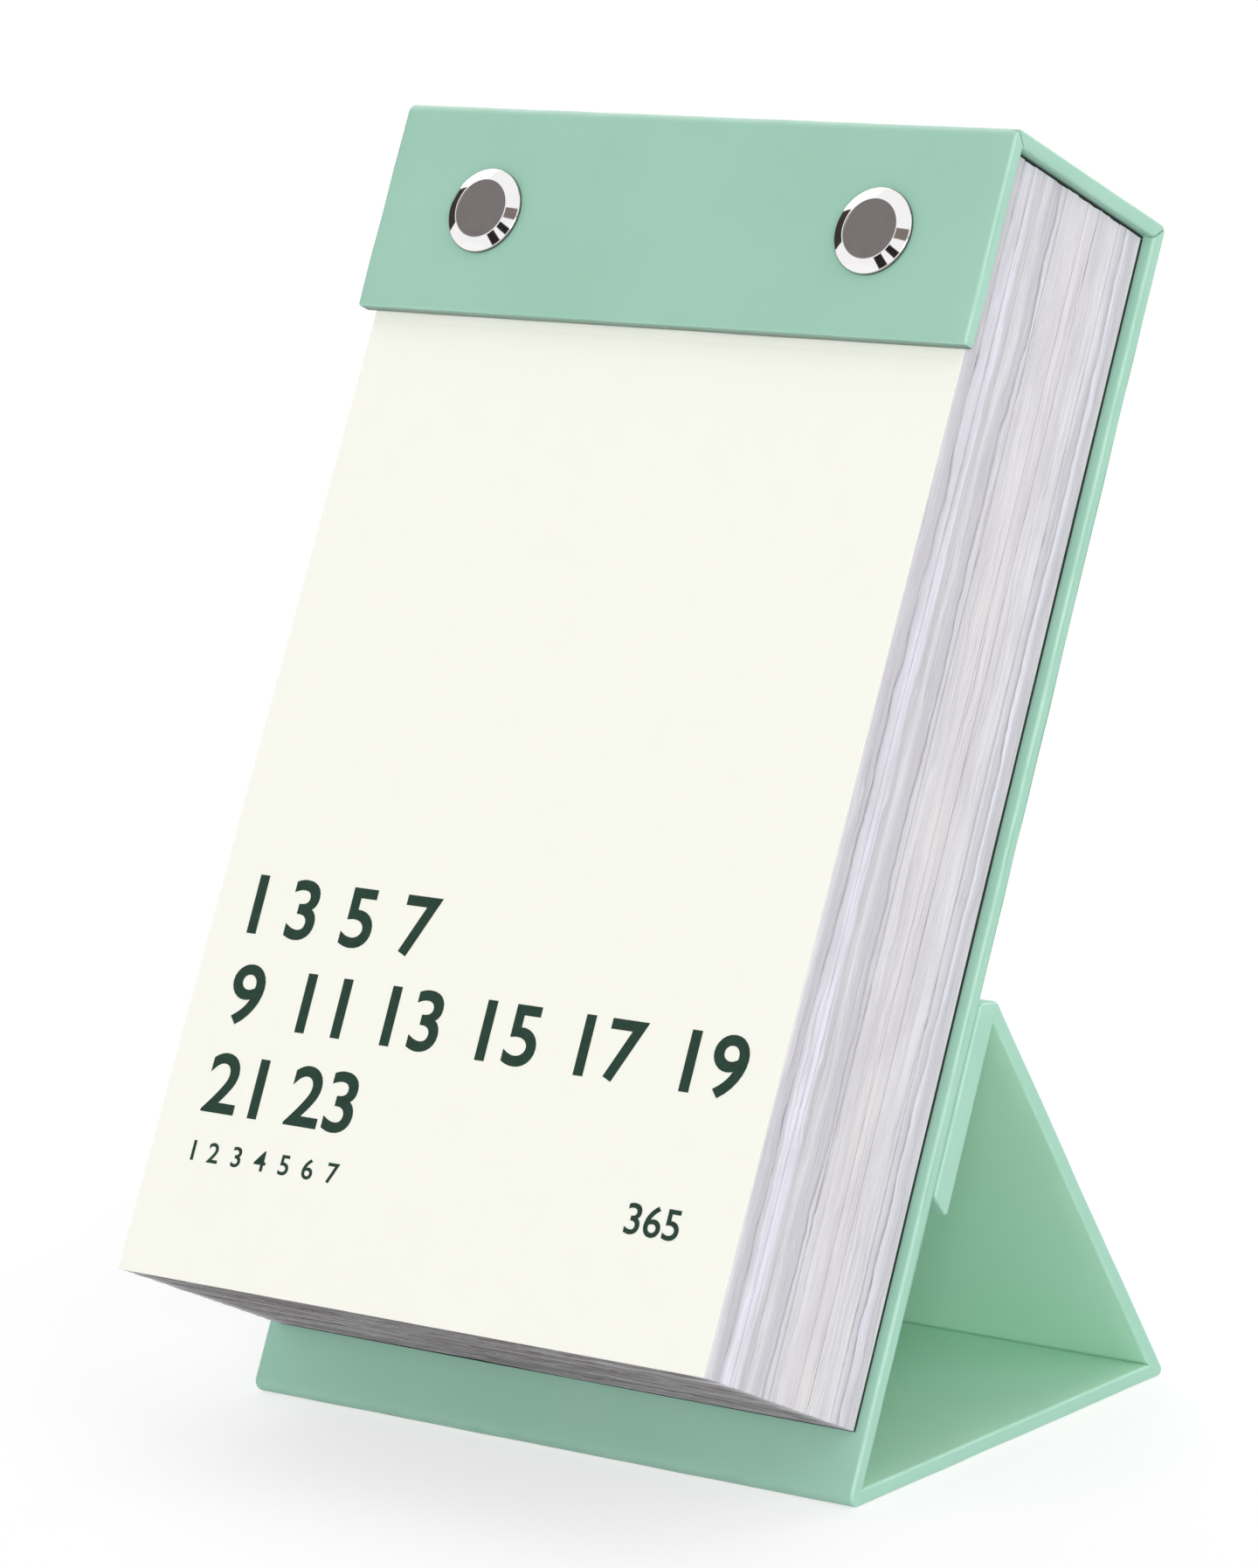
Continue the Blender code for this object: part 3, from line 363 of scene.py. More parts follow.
def offset_paper(front_depth):
    """The cut edges of white offset leaves: thin wavy streaks along them, painted greyer and warmer
    as shade where leaves stand back and lilac-white as a painted highlight where they stand out.

    Single leaves are 0.09 mm thick. The streaks are drawn from 0.3 to 3.4 mm thick, so that they
    show, and they follow the leaves' slow waves. At the foot the leaves stand slightly open, and
    the tone there is darkened in streaks as painted shade.
    """
    made, tree, shader = new_finish("offset_leaf_edges")
    upright = BACK_PLACE.inverted()
    place = add(tree, "ShaderNodeMapping", {
        "Vector": add(tree, "ShaderNodeTexCoord").outputs["Object"],
        "Location": upright.translation, "Rotation": upright.to_euler()}).outputs["Vector"]

    def streaks(along, thickness, detail, source):
        """Noise drawn out along the leaves, for streaks of a length and thickness in mm."""
        scale = Vector((1 / along, 1 / thickness, 1 / along)) / MM
        drawn = add(tree, "ShaderNodeVectorMath", {0: source, 1: scale}, operation="MULTIPLY")
        return add(tree, "ShaderNodeTexNoise", {
            "Vector": drawn.outputs[0], "Scale": 1.0, "Detail": detail,
            "Roughness": 0.6}).outputs["Fac"]

    slow_sway, quick_sway = (
        add(tree, "ShaderNodeMapRange", {
            "Value": streaks(along, thickness, 2.0, place), "From Min": 0.25, "From Max": 0.75,
            "To Min": -reach * MM, "To Max": reach * MM}).outputs["Result"]
        for along, thickness, reach in LEAF_SWAYS)
    moved = add(tree, "ShaderNodeMath", {0: slow_sway, 1: quick_sway}, operation="ADD")
    shift = add(tree, "ShaderNodeCombineXYZ", {"Y": moved.outputs[0]})
    swayed = add(tree, "ShaderNodeVectorMath", {
        0: place, 1: shift.outputs[0]}, operation="ADD").outputs[0]
    depth = add(tree, "ShaderNodeSeparateXYZ", {"Vector": swayed}).outputs["Y"]
    behind_front = add(tree, "ShaderNodeMapRange", {
        "Value": depth, "From Min": front_depth * MM,
        "From Max": (front_depth + BLOCK_DEPTH) * MM})
    # Painted shade and highlight: bands greyer where leaves stand back, lilac-white where they
    # stand out, and dark where clumps stand apart
    bands = add(tree, "ShaderNodeValToRGB", {"Fac": behind_front.outputs["Result"]})
    ramp = bands.color_ramp
    while len(ramp.elements) < len(LEAF_BANDS):
        ramp.elements.new(0.5)
    for stop, (behind, shade) in zip(ramp.elements, LEAF_BANDS):
        stop.position = behind
        stop.color = hex_colour(shade)
    colour = bands.outputs["Color"]
    for along, thickness, detail, start, full, share, tone in LEAF_STREAKS:
        strength = add(tree, "ShaderNodeMapRange", {
            "Value": streaks(along, thickness, detail, swayed),
            "From Min": start, "From Max": full, "To Max": share})
        colour = add(tree, "ShaderNodeMix", {
            FACTOR: strength.outputs["Result"], FIRST: colour, SECOND: hex_colour(tone)},
            data_type="RGBA").outputs[MIXED]
    # Painted shade: the leaves' foot, which faces down, is darkened in streaks
    opened = add(tree, "ShaderNodeMapRange", {
        "Value": streaks(*FOOT_SHADE_STREAKS, swayed), "From Min": 0.40, "From Max": 0.62,
        "To Min": 0.30, "To Max": 0.95})
    foot = add(tree, "ShaderNodeAttribute", attribute_name="foot")
    shaded = add(tree, "ShaderNodeMath", {
        0: foot.outputs["Fac"], 1: opened.outputs["Result"]}, operation="MULTIPLY")
    colour = add(tree, "ShaderNodeMix", {
        FACTOR: shaded.outputs[0], FIRST: colour, SECOND: hex_colour("#67625D")},
        data_type="RGBA").outputs[MIXED]
    bump = add(tree, "ShaderNodeBump", {
        "Height": streaks(*LEAF_RELIEF, swayed), "Strength": 0.35, "Distance": 0.1 * MM})
    feed(shader, {
        "Base Color": colour, "Normal": bump.outputs["Normal"],
        "Roughness": 0.85, "Specular IOR Level": 0.25})
    return made


def smooth_paper(name, pale, deep):
    """Uncoated paper, machine-smoothed: a tone that faint fibre clouds 6 mm wide just break up.

    Its fibres are 0.2 mm apart and only roughen it, and it has no gloss.
    """
    made, tree, shader, place, _ = two_toned(name, pale, deep, 6.25, 4.0)
    fibres = add(tree, "ShaderNodeTexNoise", {
        "Vector": place, "Scale": marks_apart(0.192), "Detail": 3.0})
    bump = add(tree, "ShaderNodeBump", {
        "Height": fibres.outputs["Fac"], "Strength": 0.12, "Distance": 0.02 * MM})
    feed(shader, {
        "Normal": bump.outputs["Normal"], "Roughness": 0.72, "Specular IOR Level": 0.3})
    return made


def fibrous(name, dark, light, grain, roughness):
    """Card, board or tape: a matt colour broken up by fibres of the given spacing in mm."""
    made, tree, shader, _, fibres = two_toned(name, dark, light, grain, 5.0, 0.6)
    bump = add(tree, "ShaderNodeBump", {
        "Height": fibres, "Strength": 0.3, "Distance": grain * MM / 6})
    feed(shader, {"Normal": bump.outputs["Normal"], "Roughness": roughness})
    return made


def plated_brass(face_radius, radius):
    """Chrome-plated brass: a bright bevel round a satin face, with a painted shade line at its
    foot.

    The face is brushed in circles 0.1 mm apart, and reflects as one soft grey with faint clouds
    2.4 mm wide. The "from_axis" attribute holds each point's distance from the head's axis in mm.
    """
    made, tree, shader = new_finish("chrome_plated_brass")
    place = add(tree, "ShaderNodeTexCoord").outputs["Object"]
    from_axis = add(tree, "ShaderNodeAttribute", attribute_name="from_axis").outputs["Fac"]
    on_bevel = add(tree, "ShaderNodeMapRange", {
        "Value": from_axis, "From Min": face_radius - FACE_EDGE,
        "From Max": face_radius}).outputs["Result"]
    # Painted shade: a dark line round the head's foot, where it meets the cloth
    at_foot = add(tree, "ShaderNodeMapRange", {
        "Value": from_axis, "From Min": radius - FOOT_SHADE_LINE[0],
        "From Max": radius - FOOT_SHADE_LINE[1], "To Max": 0.85}).outputs["Result"]
    clouds = add(tree, "ShaderNodeTexNoise", {
        "Vector": place, "Scale": marks_apart(2.38), "Detail": 3.0})
    colour = add(tree, "ShaderNodeMix", {
        FACTOR: clouds.outputs["Fac"],
        FIRST: hex_colour("#736E6D"), SECOND: hex_colour("#7E7978")},
        data_type="RGBA").outputs[MIXED]
    for share, tone in ((on_bevel, "#F3F1F2"), (at_foot, "#4A4644")):
        colour = add(tree, "ShaderNodeMix", {
            FACTOR: share, FIRST: colour, SECOND: hex_colour(tone)},
            data_type="RGBA").outputs[MIXED]
    rough = add(tree, "ShaderNodeMapRange", {"Value": on_bevel, "To Min": 0.42, "To Max": 0.05})
    turned_lines = add(tree, "ShaderNodeMath", {
        0: from_axis, 1: FACE_RINGS_PER_MM}, operation="MULTIPLY")
    rings = add(tree, "ShaderNodeTexNoise", {
        "W": turned_lines.outputs[0], "Scale": 1.0, "Detail": 2.0}, noise_dimensions="1D")
    brushed = add(tree, "ShaderNodeMapRange", {"Value": on_bevel, "To Min": 0.12, "To Max": 0.0})
    bump = add(tree, "ShaderNodeBump", {
        "Height": rings.outputs["Fac"], "Strength": brushed.outputs["Result"],
        "Distance": 0.02 * MM})
    feed(shader, {
        "Base Color": colour, "Normal": bump.outputs["Normal"],
        "Roughness": rough.outputs["Result"], "Metallic": 1.0})
    return made


def nickel_plate():
    """Nickel-plated steel: a warm grey shine, softened by fine handling marks 1 mm apart."""
    made, tree, shader, _, marks = two_toned(
        "nickel_plated_steel", "#B5B1AA", "#C9C5BE", 1.11, 5.0)
    rough = add(tree, "ShaderNodeMapRange", {"Value": marks, "To Min": 0.18, "To Max": 0.34})
    feed(shader, {"Roughness": rough.outputs["Result"], "Metallic": 1.0})
    return made


def printing_ink():
    """Offset ink, one deep green: matt, with patches 0.9 mm wide where the paper took less."""
    made, _, shader, *_ = two_toned("deep_green_offset_ink", "#22362D", "#2F483C", 0.909, 4.0)
    feed(shader, {"Roughness": 0.62, "Specular IOR Level": 0.12})
    return made


BOOKCLOTH = vinyl_bookcloth()
CREAM = smooth_paper("cream_uncoated_paper", "#FBFBF2", "#F8F8EE")
LEAF_FACE = smooth_paper("white_offset_paper", "#F4F3F3", "#EFEEEF")
INK = printing_ink()
GREYBOARD = fibrous("raw_greyboard", "#8B857B", "#A39C90", 0.6, 0.9)
BLACK_CARD = fibrous("black_card", "#0C1211", "#1C2422", 0.3, 0.75)
BLACK_TAPE = fibrous("black_binding_tape", "#0B0F0E", "#222927", 0.45, 0.8)
NICKEL = nickel_plate()


# Outlines and lofted boards


def edge_run(start, end, gap):
    """Points from the start up to the end, but not on it, about a gap apart."""
    parts = max(1, round((end - start).length / gap))
    return [start + (end - start) * step / parts for step in range(parts)]


def outline(corners, joined=(), light_painted_corners=()):
    """A closed outline of y and z, with an arc at each corner that has a radius.

    joined holds the corners whose following edge meets a neighbour, and the next set those between
    which the cloth inside the stand is painted paler, as painted light against its shade. Returns
    the points, whether the edge after each is free, how far each stands in an arc, from 0 at its
    ends to
    1, and whether it is painted paler.
    """
    arcs = []
    count = len(corners)
    for index, (y, z, radius) in enumerate(corners):
        corner = Vector((y, z))
        if not radius:
            arcs.append([corner])
            continue
        before = (Vector(corners[index - 1][:2]) - corner).normalized()
        after = (Vector(corners[(index + 1) % count][:2]) - corner).normalized()
        half = before.angle(after) / 2
        centre = corner + (before + after).normalized() * radius / math.sin(half)
        start = corner + before * radius / math.tan(half) - centre
        end = corner + after * radius / math.tan(half) - centre
        sweep = start.angle_signed(end)
        arc = []
        for step in range(ARC_STEPS + 1):
            spoke = start.copy()
            spoke.rotate(Matrix.Rotation(-sweep * step / ARC_STEPS, 2))
            arc.append(centre + spoke)
        arcs.append(arc)
    points, free, bent, inside = [], [], [], []
    for index, arc in enumerate(arcs):
        for step, point in enumerate(arc[:-1]):
            points.append(point)
            free.append(True)
            bent.append(math.sin(math.pi * step / ARC_STEPS))
            inside.append(False)
        after = (index + 1) % count
        for step, point in enumerate(edge_run(arc[-1], arcs[after][0], OUTLINE_GAP)):
            points.append(point)
            free.append(index not in joined)
            bent.append(0.0)
            inside.append(index in light_painted_corners and (step == 0 or after in light_painted_corners))
    return points, free, bent, inside


def inward_moves(points, free):
    """How each point of an outline moves when every free edge moves in by 1."""
    count = len(points)
    area = sum(points[i - 1].cross(points[i]) for i in range(count))
    side = 1 if area > 0 else -1
    normals = []
    for i, point in enumerate(points):
        edge = (points[(i + 1) % count] - point).normalized()
        normals.append(Vector((-edge.y, edge.x)) * side)
    moves = []
    for i in range(count):
        first, second = normals[i - 1], normals[i]
        move_first, move_second = float(free[i - 1]), float(free[i])
        turn = first.cross(second)
        if abs(turn) < STRAIGHT:
            moves.append(first * max(move_first, move_second))
            continue
        across_first = Vector((second.y, -second.x)) * move_first
        across_second = Vector((-first.y, first.x)) * move_second
        move = (across_first + across_second) / turn
        moves.append(move / max(1.0, move.length / LONGEST_MOVE))
    return moves


def stations(width):
    """Cross-sections from one side to the other: x, share of the rim's drop, and slope inwards."""
    half = width / 2
    rim = []
    for step in range(RIM_STEPS + 1):
        turn = math.pi / 2 * step / RIM_STEPS
        rim.append((half - RIM_REACH * (1 - math.cos(turn)), 1 - math.sin(turn), turn))
    inner = half - RIM_REACH
    parts = round(2 * inner / STATION_GAP)
    middle = [(inner * (1 - 2 * step / parts), 0.0, math.pi / 2) for step in range(1, parts)]
    mirrored = [(-x, drop, turn) for x, drop, turn in reversed(rim)]
    return rim + middle + mirrored


def unevenness(point, depth):
    """How far the wrap sinks in at a place, as smooth waves between 0 and the depth."""
    wave = noise.noise(point / (UNEVEN_LENGTH * MM))
    return depth * min(1.0, max(0.0, 0.5 + UNEVEN_SWING * wave))


def ripple(first, second, wave):
    """How far a smooth wave reaches at a place along two directions, to either side of nothing."""
    first_length, second_length, seed, reach = wave
    return reach * noise.noise(Vector((first / first_length, second / second_length, seed)))


def tube_faces(rings, count):
    """The faces between rings of points, followed by the caps on the first and the last ring."""
    faces = []
    for ring in range(rings - 1):
        for i in range(count):
            j = (i + 1) % count
            faces.append((ring * count + i, ring * count + j,
                          (ring + 1) * count + j, (ring + 1) * count + i))
    faces.append(tuple(reversed(range(count))))
    faces.append(tuple((rings - 1) * count + i for i in range(count)))
    return faces


def lofted(name, corners, place, joined=(), light_painted_corners=(), width=CASE_WIDTH, drop=RIM_DROP):
    """A wrapped board or fold: its outline lofted across the width, with rounded, uneven rims."""
    points, free, bent, inside = outline(corners, joined, light_painted_corners)
    moves = inward_moves(points, free)
    verts, rims, inside_painted_lights = [], [], []
    rows = stations(width)
    for x, share, turn in rows:
        for point, move, arc, inside_painted_light in zip(points, moves, bent, inside):
            flat = point + move * drop * share
            here = Vector((x, flat.x, flat.y))
            # Share by which the rims are painted paler, as a painted highlight
            on_rim = max(arc * ARC_SHEEN, math.sin(2 * turn) ** 2)
            depth = UNEVEN_FACE + (UNEVEN_RIM - UNEVEN_FACE) * max(arc, math.cos(turn))
            sink = unevenness(place @ (here * MM), depth)
            sideways = -math.copysign(math.cos(turn), x)
            inwards = Vector((sideways, move.x * math.sin(turn), move.y * math.sin(turn)))
            verts.append((here + inwards * sink) * MM)
            rims.append(on_rim)
            # Painted light: the faces inside the stand are painted paler against their shade,
            # fading out round the rims
            inside_painted_lights.append(inside_painted_light * math.sin(turn) ** 4)
    mesh = solid(name, verts, tube_faces(len(rows), len(points)))
    mark(mesh, "rim", rims)
    mark(mesh, "inside_painted_light", inside_painted_lights)
    return mesh


def mark(mesh, name, values):
    """Stores one value for each point, for a material to read."""
    mesh.attributes.new(name, "FLOAT", "POINT").data.foreach_set("value", values)


def solid(name, verts, faces, smooth_deg=SMOOTH_DEG):
    """A closed mesh with its faces pointing out, shaded smooth up to an angle."""
    mesh = bpy.data.meshes.new(name)
    mesh.from_pydata(verts, [], faces)
    cage = bmesh.new()
    cage.from_mesh(mesh)
    bmesh.ops.recalc_face_normals(cage, faces=cage.faces)
    cage.to_mesh(mesh)
    cage.free()
    mesh.shade_smooth()
    mesh.set_sharp_from_angle(angle=math.radians(smooth_deg))
    return mesh


def taken_from(cage, name):
    """A new mesh that takes over what a cage holds."""
    mesh = bpy.data.meshes.new(name)
    cage.to_mesh(mesh)
    cage.free()
    return mesh


def put(name, mesh, place, material):
    """Shows a mesh, moved from a board's frame to its place in the model."""
    mesh.transform(place)
    made = bpy.data.objects.new(name, mesh)
    bpy.context.scene.collection.objects.link(made)
    mesh.materials.clear()
    mesh.materials.append(material)
    return made


def as_shown(piece):
    """A new mesh of what an object shows, with its modifiers applied."""
    bpy.context.view_layer.update()
    seen = piece.evaluated_get(bpy.context.evaluated_depsgraph_get())
    return bpy.data.meshes.new_from_object(seen)


def carve(piece, cutters):
    """Cuts the shapes out of a piece and removes them."""
    for cutter in cutters:
        cut = piece.modifiers.new(cutter.name, "BOOLEAN")
        cut.operation = "DIFFERENCE"
        cut.solver = "EXACT"
        cut.object = cutter
    mesh = as_shown(piece)
    piece.modifiers.clear()
    piece.data = mesh
    for cutter in cutters:
        bpy.data.objects.remove(cutter, do_unlink=True)


def belongs(piece, body, slot, *nodes):
    """Lets the piece ride a body and stand for the nodes that it covers, which it hides. The slot
    is not used.
    """
    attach(piece, body)
    if nodes:
        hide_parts(*nodes)


# The case: strip, spine and back board under one length of cloth


def mitre_groove(name, inner, outer, side):
    """A wedge that opens the folded seam at one end of a head edge, from inner to outer corner."""
    run = (outer - inner).normalized()
    across = Vector((-run.y, run.x)) * MITRE_WIDTH / 2
    wall = side * (CASE_WIDTH / 2 + MITRE_OVERRUN)
    root = side * (CASE_WIDTH / 2 - MITRE_DEPTH)
    verts = []
    for end in (inner - run * MITRE_OVERRUN, outer + run * MITRE_OVERRUN):
        for x, offset in ((wall, across), (wall, -across), (root, across * 0)):
            point = end + offset
            verts.append(Vector((x, point.x, point.y)) * MM)
    faces = [(0, 1, 2), (5, 4, 3), (0, 3, 4, 1), (1, 4, 5, 2), (2, 5, 3, 0)]
    return put(name, solid(name, verts, faces), BACK_PLACE, BOOKCLOTH)


def make_head_case():
    """Strip, spine and back board under one wrap, with an open mitre seam at each head corner."""
    corners = [
        (BACK_HIGH.y, BACK_LOW.z, 0),
        (BACK_HIGH.y, SPINE_HIGH.z, HEAD_REAR_RADIUS),
        (STRIP_LOW.y, SPINE_HIGH.z, HEAD_FRONT_RADIUS),
        (STRIP_LOW.y, STRIP_LOW.z, FREE_END_RADII[0]),
        (STRIP_HIGH.y, STRIP_LOW.z, FREE_END_RADII[1]),
        (STRIP_HIGH.y, SPINE_LOW.z, HEAD_INNER_RADIUS),
        (BACK_LOW.y, SPINE_LOW.z, HEAD_INNER_RADIUS),
        (BACK_LOW.y, BACK_LOW.z, 0),
    ]
    mesh = lofted("case_head_wrap", corners, BACK_PLACE, joined={7})
    # A painted shadow line along the strip's free edge, darkest on the leaves' side
    shaded = []
    for vert in mesh.vertices:
        at = vert.co / MM
        through = (at.y - STRIP_LOW.y) / (STRIP_HIGH.y - STRIP_LOW.y)
        under_strip = through <= 1 and at.z < STRIP_LOW.z + FREE_EDGE_LINE
        shaded.append(math.sqrt(max(0.0, through)) if under_strip else 0.0)
    mark(mesh, "free_edge_shadow", shaded)
    piece = put("case_head_wrap", mesh, BACK_PLACE, BOOKCLOTH)
    rear = (Vector((BACK_LOW.y, SPINE_LOW.z)), Vector((BACK_HIGH.y, SPINE_HIGH.z)))
    front = (Vector((STRIP_HIGH.y, SPINE_LOW.z)), Vector((STRIP_LOW.y, SPINE_HIGH.z)))
    grooves = [
        mitre_groove(f"{edge}_groove_{side}", *ends, side)
        for edge, ends in (("rear", rear), ("front", front)) for side in (-1, 1)
    ]
    carve(piece, grooves)
    piece.data.set_sharp_from_angle(angle=math.radians(SMOOTH_DEG))
    belongs(piece, "block_and_back", "mint_wrap", "back_cover", "spine_cover", "strip_cover")


def make_base_and_strut():
    """The two boards between folds, which their joined ends run on into."""
    # The last sets hold the corners between which the cloth inside the stand is painted paler, as
    # painted light
    for body, node, place, low, high, joined, light_painted_corners in (
        ("base", "base_cover", BASE_PLACE, BASE_LOW, BASE_HIGH, {1, 3}, {2, 3}),
        ("strut", "strut_cover", STRUT_PLACE, STRUT_LOW, STRUT_HIGH, {0, 2}, {3, 0}),
    ):
        corners = [(low.y, low.z, 0), (high.y, low.z, 0), (high.y, high.z, 0), (low.y, high.z, 0)]
        mesh = lofted(f"{body}_wrap", corners, place, joined, light_painted_corners)
        belongs(put(f"{body}_wrap", mesh, place, BOOKCLOTH), body, "mint_wrap", node)


def make_flap():
    """The flap, whose free end is cut at a slant."""
    corners = [
        (FLAP_LOW.y, FLAP_HIGH.z, 0),
        (FLAP_LOW.y, FLAP_LOW.z + FLAP_END_SLANT, FLAP_END_RADII[0]),
        (FLAP_HIGH.y, FLAP_LOW.z, FLAP_END_RADII[1]),
        (FLAP_HIGH.y, FLAP_HIGH.z, 0),
    ]
    # The flap's inner face is painted paler, as painted light against the shade inside the stand
    mesh = lofted("flap_wrap", corners, FLAP_PLACE, joined={3}, light_painted_corners={2, 3})
    belongs(put("flap_wrap", mesh, FLAP_PLACE, BOOKCLOTH), "flap", "mint_wrap", "flap_cover")


# Cloth folds between the boards


def flat_point(place, y, z):
    """A point of a board's side view, as y and z of the resting object."""
    world = place @ (Vector((0, y, z)) * MM) / MM
    return Vector((world.y, world.z))


def crossing(first, along, second, across):
    """Where the line from first meets the line from second."""
    gap = second - first
    share = gap.cross(across) / along.cross(across)
    return first + along * share


def board_end(place, outer, inner, along=(0, 1)):
    """A board's end at a fold: its outer and its inner corner, and the way its faces run."""
    run = flat_point(place, *along) - flat_point(place, 0, 0)
    return flat_point(place, *outer), flat_point(place, *inner), run


def make_fold(name, first, second, caps, node, first_light_painted=True):
    """The cloth between the ends of two boards. caps are the corners with radii that lead round
    the outside from the first to the second."""
    first_outer, first_inner, first_run = first
    second_outer, second_inner, second_run = second
    valley = crossing(first_inner, first_run, second_inner, second_run)
    sunk = (valley - (first_inner + second_inner) / 2).normalized() * FOLD_GROOVE
    corners = [
        (*first_outer, 0), *caps, (*second_outer, 0), (*second_inner, 0),
        (*(valley + sunk), 0), (*first_inner, 0),
    ]
    last = len(corners) - 1
    # The cloth inside the stand is painted paler, as painted light against its shade; the first
    # board's side only where it faces into the stand
    light_painted_corners = {last - 2, last - 1, last} if first_light_painted else {last - 2, last - 1}
    mesh = lofted(name, corners, Matrix.Identity(4), {1 + len(caps), last}, light_painted_corners)
    piece = put(name, mesh, Matrix.Identity(4), BOOKCLOTH)
    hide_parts(node)
    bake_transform(piece)


def make_folds():
    """The cloth at the front foot, at the rear foot and at the top of the stand."""
    back = board_end(BACK_PLACE, (BACK_LOW.y, BACK_LOW.z), (BACK_HIGH.y, BACK_LOW.z))
    base_front = board_end(
        BASE_PLACE, (BASE_LOW.y, BASE_LOW.z), (BASE_LOW.y, BASE_HIGH.z), along=(1, 0))
    base_rear = board_end(
        BASE_PLACE, (BASE_HIGH.y, BASE_LOW.z), (BASE_HIGH.y, BASE_HIGH.z), along=(1, 0))
    strut_foot = board_end(STRUT_PLACE, (STRUT_HIGH.y, STRUT_LOW.z), (STRUT_LOW.y, STRUT_LOW.z))
    strut_top = board_end(STRUT_PLACE, (STRUT_HIGH.y, STRUT_HIGH.z), (STRUT_LOW.y, STRUT_HIGH.z))
    flap_top = board_end(FLAP_PLACE, (FLAP_LOW.y, FLAP_HIGH.z), (FLAP_HIGH.y, FLAP_HIGH.z))
    toe = crossing(back[0], back[2], base_front[0], base_front[2])
    heel = crossing(base_rear[0], base_rear[2], strut_foot[0], strut_foot[2])
    level = Vector((1.0, 0.0))
    axis_z = flat_point(FLAP_PLACE, 0, 0).y
    rear_cap, front_cap = (
        crossing(board[0], board[2], Vector((0, axis_z + rise)), level)
        for board, rise in ((strut_top, TOP_CAP_REAR_RISE), (flap_top, TOP_CAP_FRONT_RISE)))
    make_fold(
        "back_to_base_fold", back, base_front,
        [(*toe, TOE_RADIUS)], "back_to_base_crease", first_light_painted=False)
    make_fold(
        "base_to_strut_fold", base_rear, strut_foot,
        [(*heel, HEEL_RADIUS)], "base_to_strut_crease")
    make_fold(
        "strut_to_flap_fold", strut_top, flap_top,
        [(*rear_cap, TOP_FOLD_RADIUS), (*front_cap, TOP_FOLD_RADIUS)], "strut_to_flap_crease")


# The block of leaves


def leaned(x, depth, height):
    """x of a leaf's point after the block has slipped left towards its front and its foot."""
    forward = (BLOCK_REAR - depth) / BLOCK_DEPTH
    fallen = (STRIP_LOW.z - height) / (STRIP_LOW.z - BLOCK_FOOT)
    return x - BLOCK_LEAN * max(0.0, forward) ** LEAN_CURVE * max(0.0, fallen)


def make_gathering(number, material):
    """One month's leaves: ridges along all four edges, with slips, waves and open gaps.

    Each drawn leaf has two rows of points, and each gap a sunk one.
    """
    node = f"gathering_{number:02d}"
    low, high = box_in(node, BACK_PLACE)
    half = (high.x - low.x) / 2
    middle = (high.x + low.x) / 2
    corner = [Vector((-half, low.z)), Vector((half, low.z)),
              Vector((half, high.z)), Vector((-half, high.z))]
    loop = []
    for index in range(4):
        loop.extend(edge_run(corner[index], corner[(index + 1) % 4], LEAF_ALONG))
    pitch = (high.y - low.y) / LEAVES_PER_GATHERING
    rows = []
    for leaf in range(LEAVES_PER_GATHERING):
        front = low.y + leaf * pitch
        rows.append((front, leaf, 0.0))
        rows.append((front + pitch * (1 - VALLEY_SHARE), leaf, 0.0))
        if leaf < LEAVES_PER_GATHERING - 1:
            rows.append((front + pitch * (1 - VALLEY_SHARE / 2), leaf, 1.0))
    opened = CLUMP_GAPS.get(number, ())
    verts, foot_shade = [], []
    for depth, leaf, valley in rows:
        whole = number * LEAVES_PER_GATHERING - leaf
        gap_depth = CLUMP_GAP_DEPTH if leaf in opened else VALLEY_DEPTH
        for spot in loop:
            slip = ripple(whole, spot.y, SLOW_SLIP) + ripple(whole, spot.y, QUICK_SLIP)
            foot = abs(ripple(whole, spot.x, SLOW_FOOT)) + abs(ripple(whole, spot.x, QUICK_FOOT))
            share = VALLEY_MEAN + ripple(whole, spot.x + spot.y, VALLEY_WAVE)
            sunk = valley * gap_depth * share
            x, z = spot.x + slip, spot.y
            at_side = abs(spot.x) > half - ROUNDING
            at_foot = spot.y < low.z + ROUNDING
            if at_side:
                x -= math.copysign(sunk, spot.x)
            if at_foot:
                z += foot + sunk
            verts.append(Vector((leaned(middle + x, depth, z), depth, z)) * MM)
            # Points on the foot, where the tone is darkened as painted shade
            foot_shade.append(float(at_foot and not at_side))
    faces = tube_faces(len(rows), len(loop))
    mesh = solid(f"leaves_{number:02d}", verts, faces, smooth_deg=25)
    mark(mesh, "foot", foot_shade)
    piece = put(f"leaves_{number:02d}", mesh, BACK_PLACE, material)
    belongs(piece, "block_and_back", "leaf_paper", node)
    return piece


def make_block():
    """The twelve gatherings, from the rear one to the foremost."""
    paper = offset_paper(box_in("gathering_12", BACK_PLACE)[0].y)
    for number in range(1, 13):
        foremost = make_gathering(number, paper)
    # Its flat side shows when the front leaf turns
    foremost.data.materials.append(LEAF_FACE)
    for flat_side in foremost.data.polygons[-2:]:
        flat_side.material_index = 1


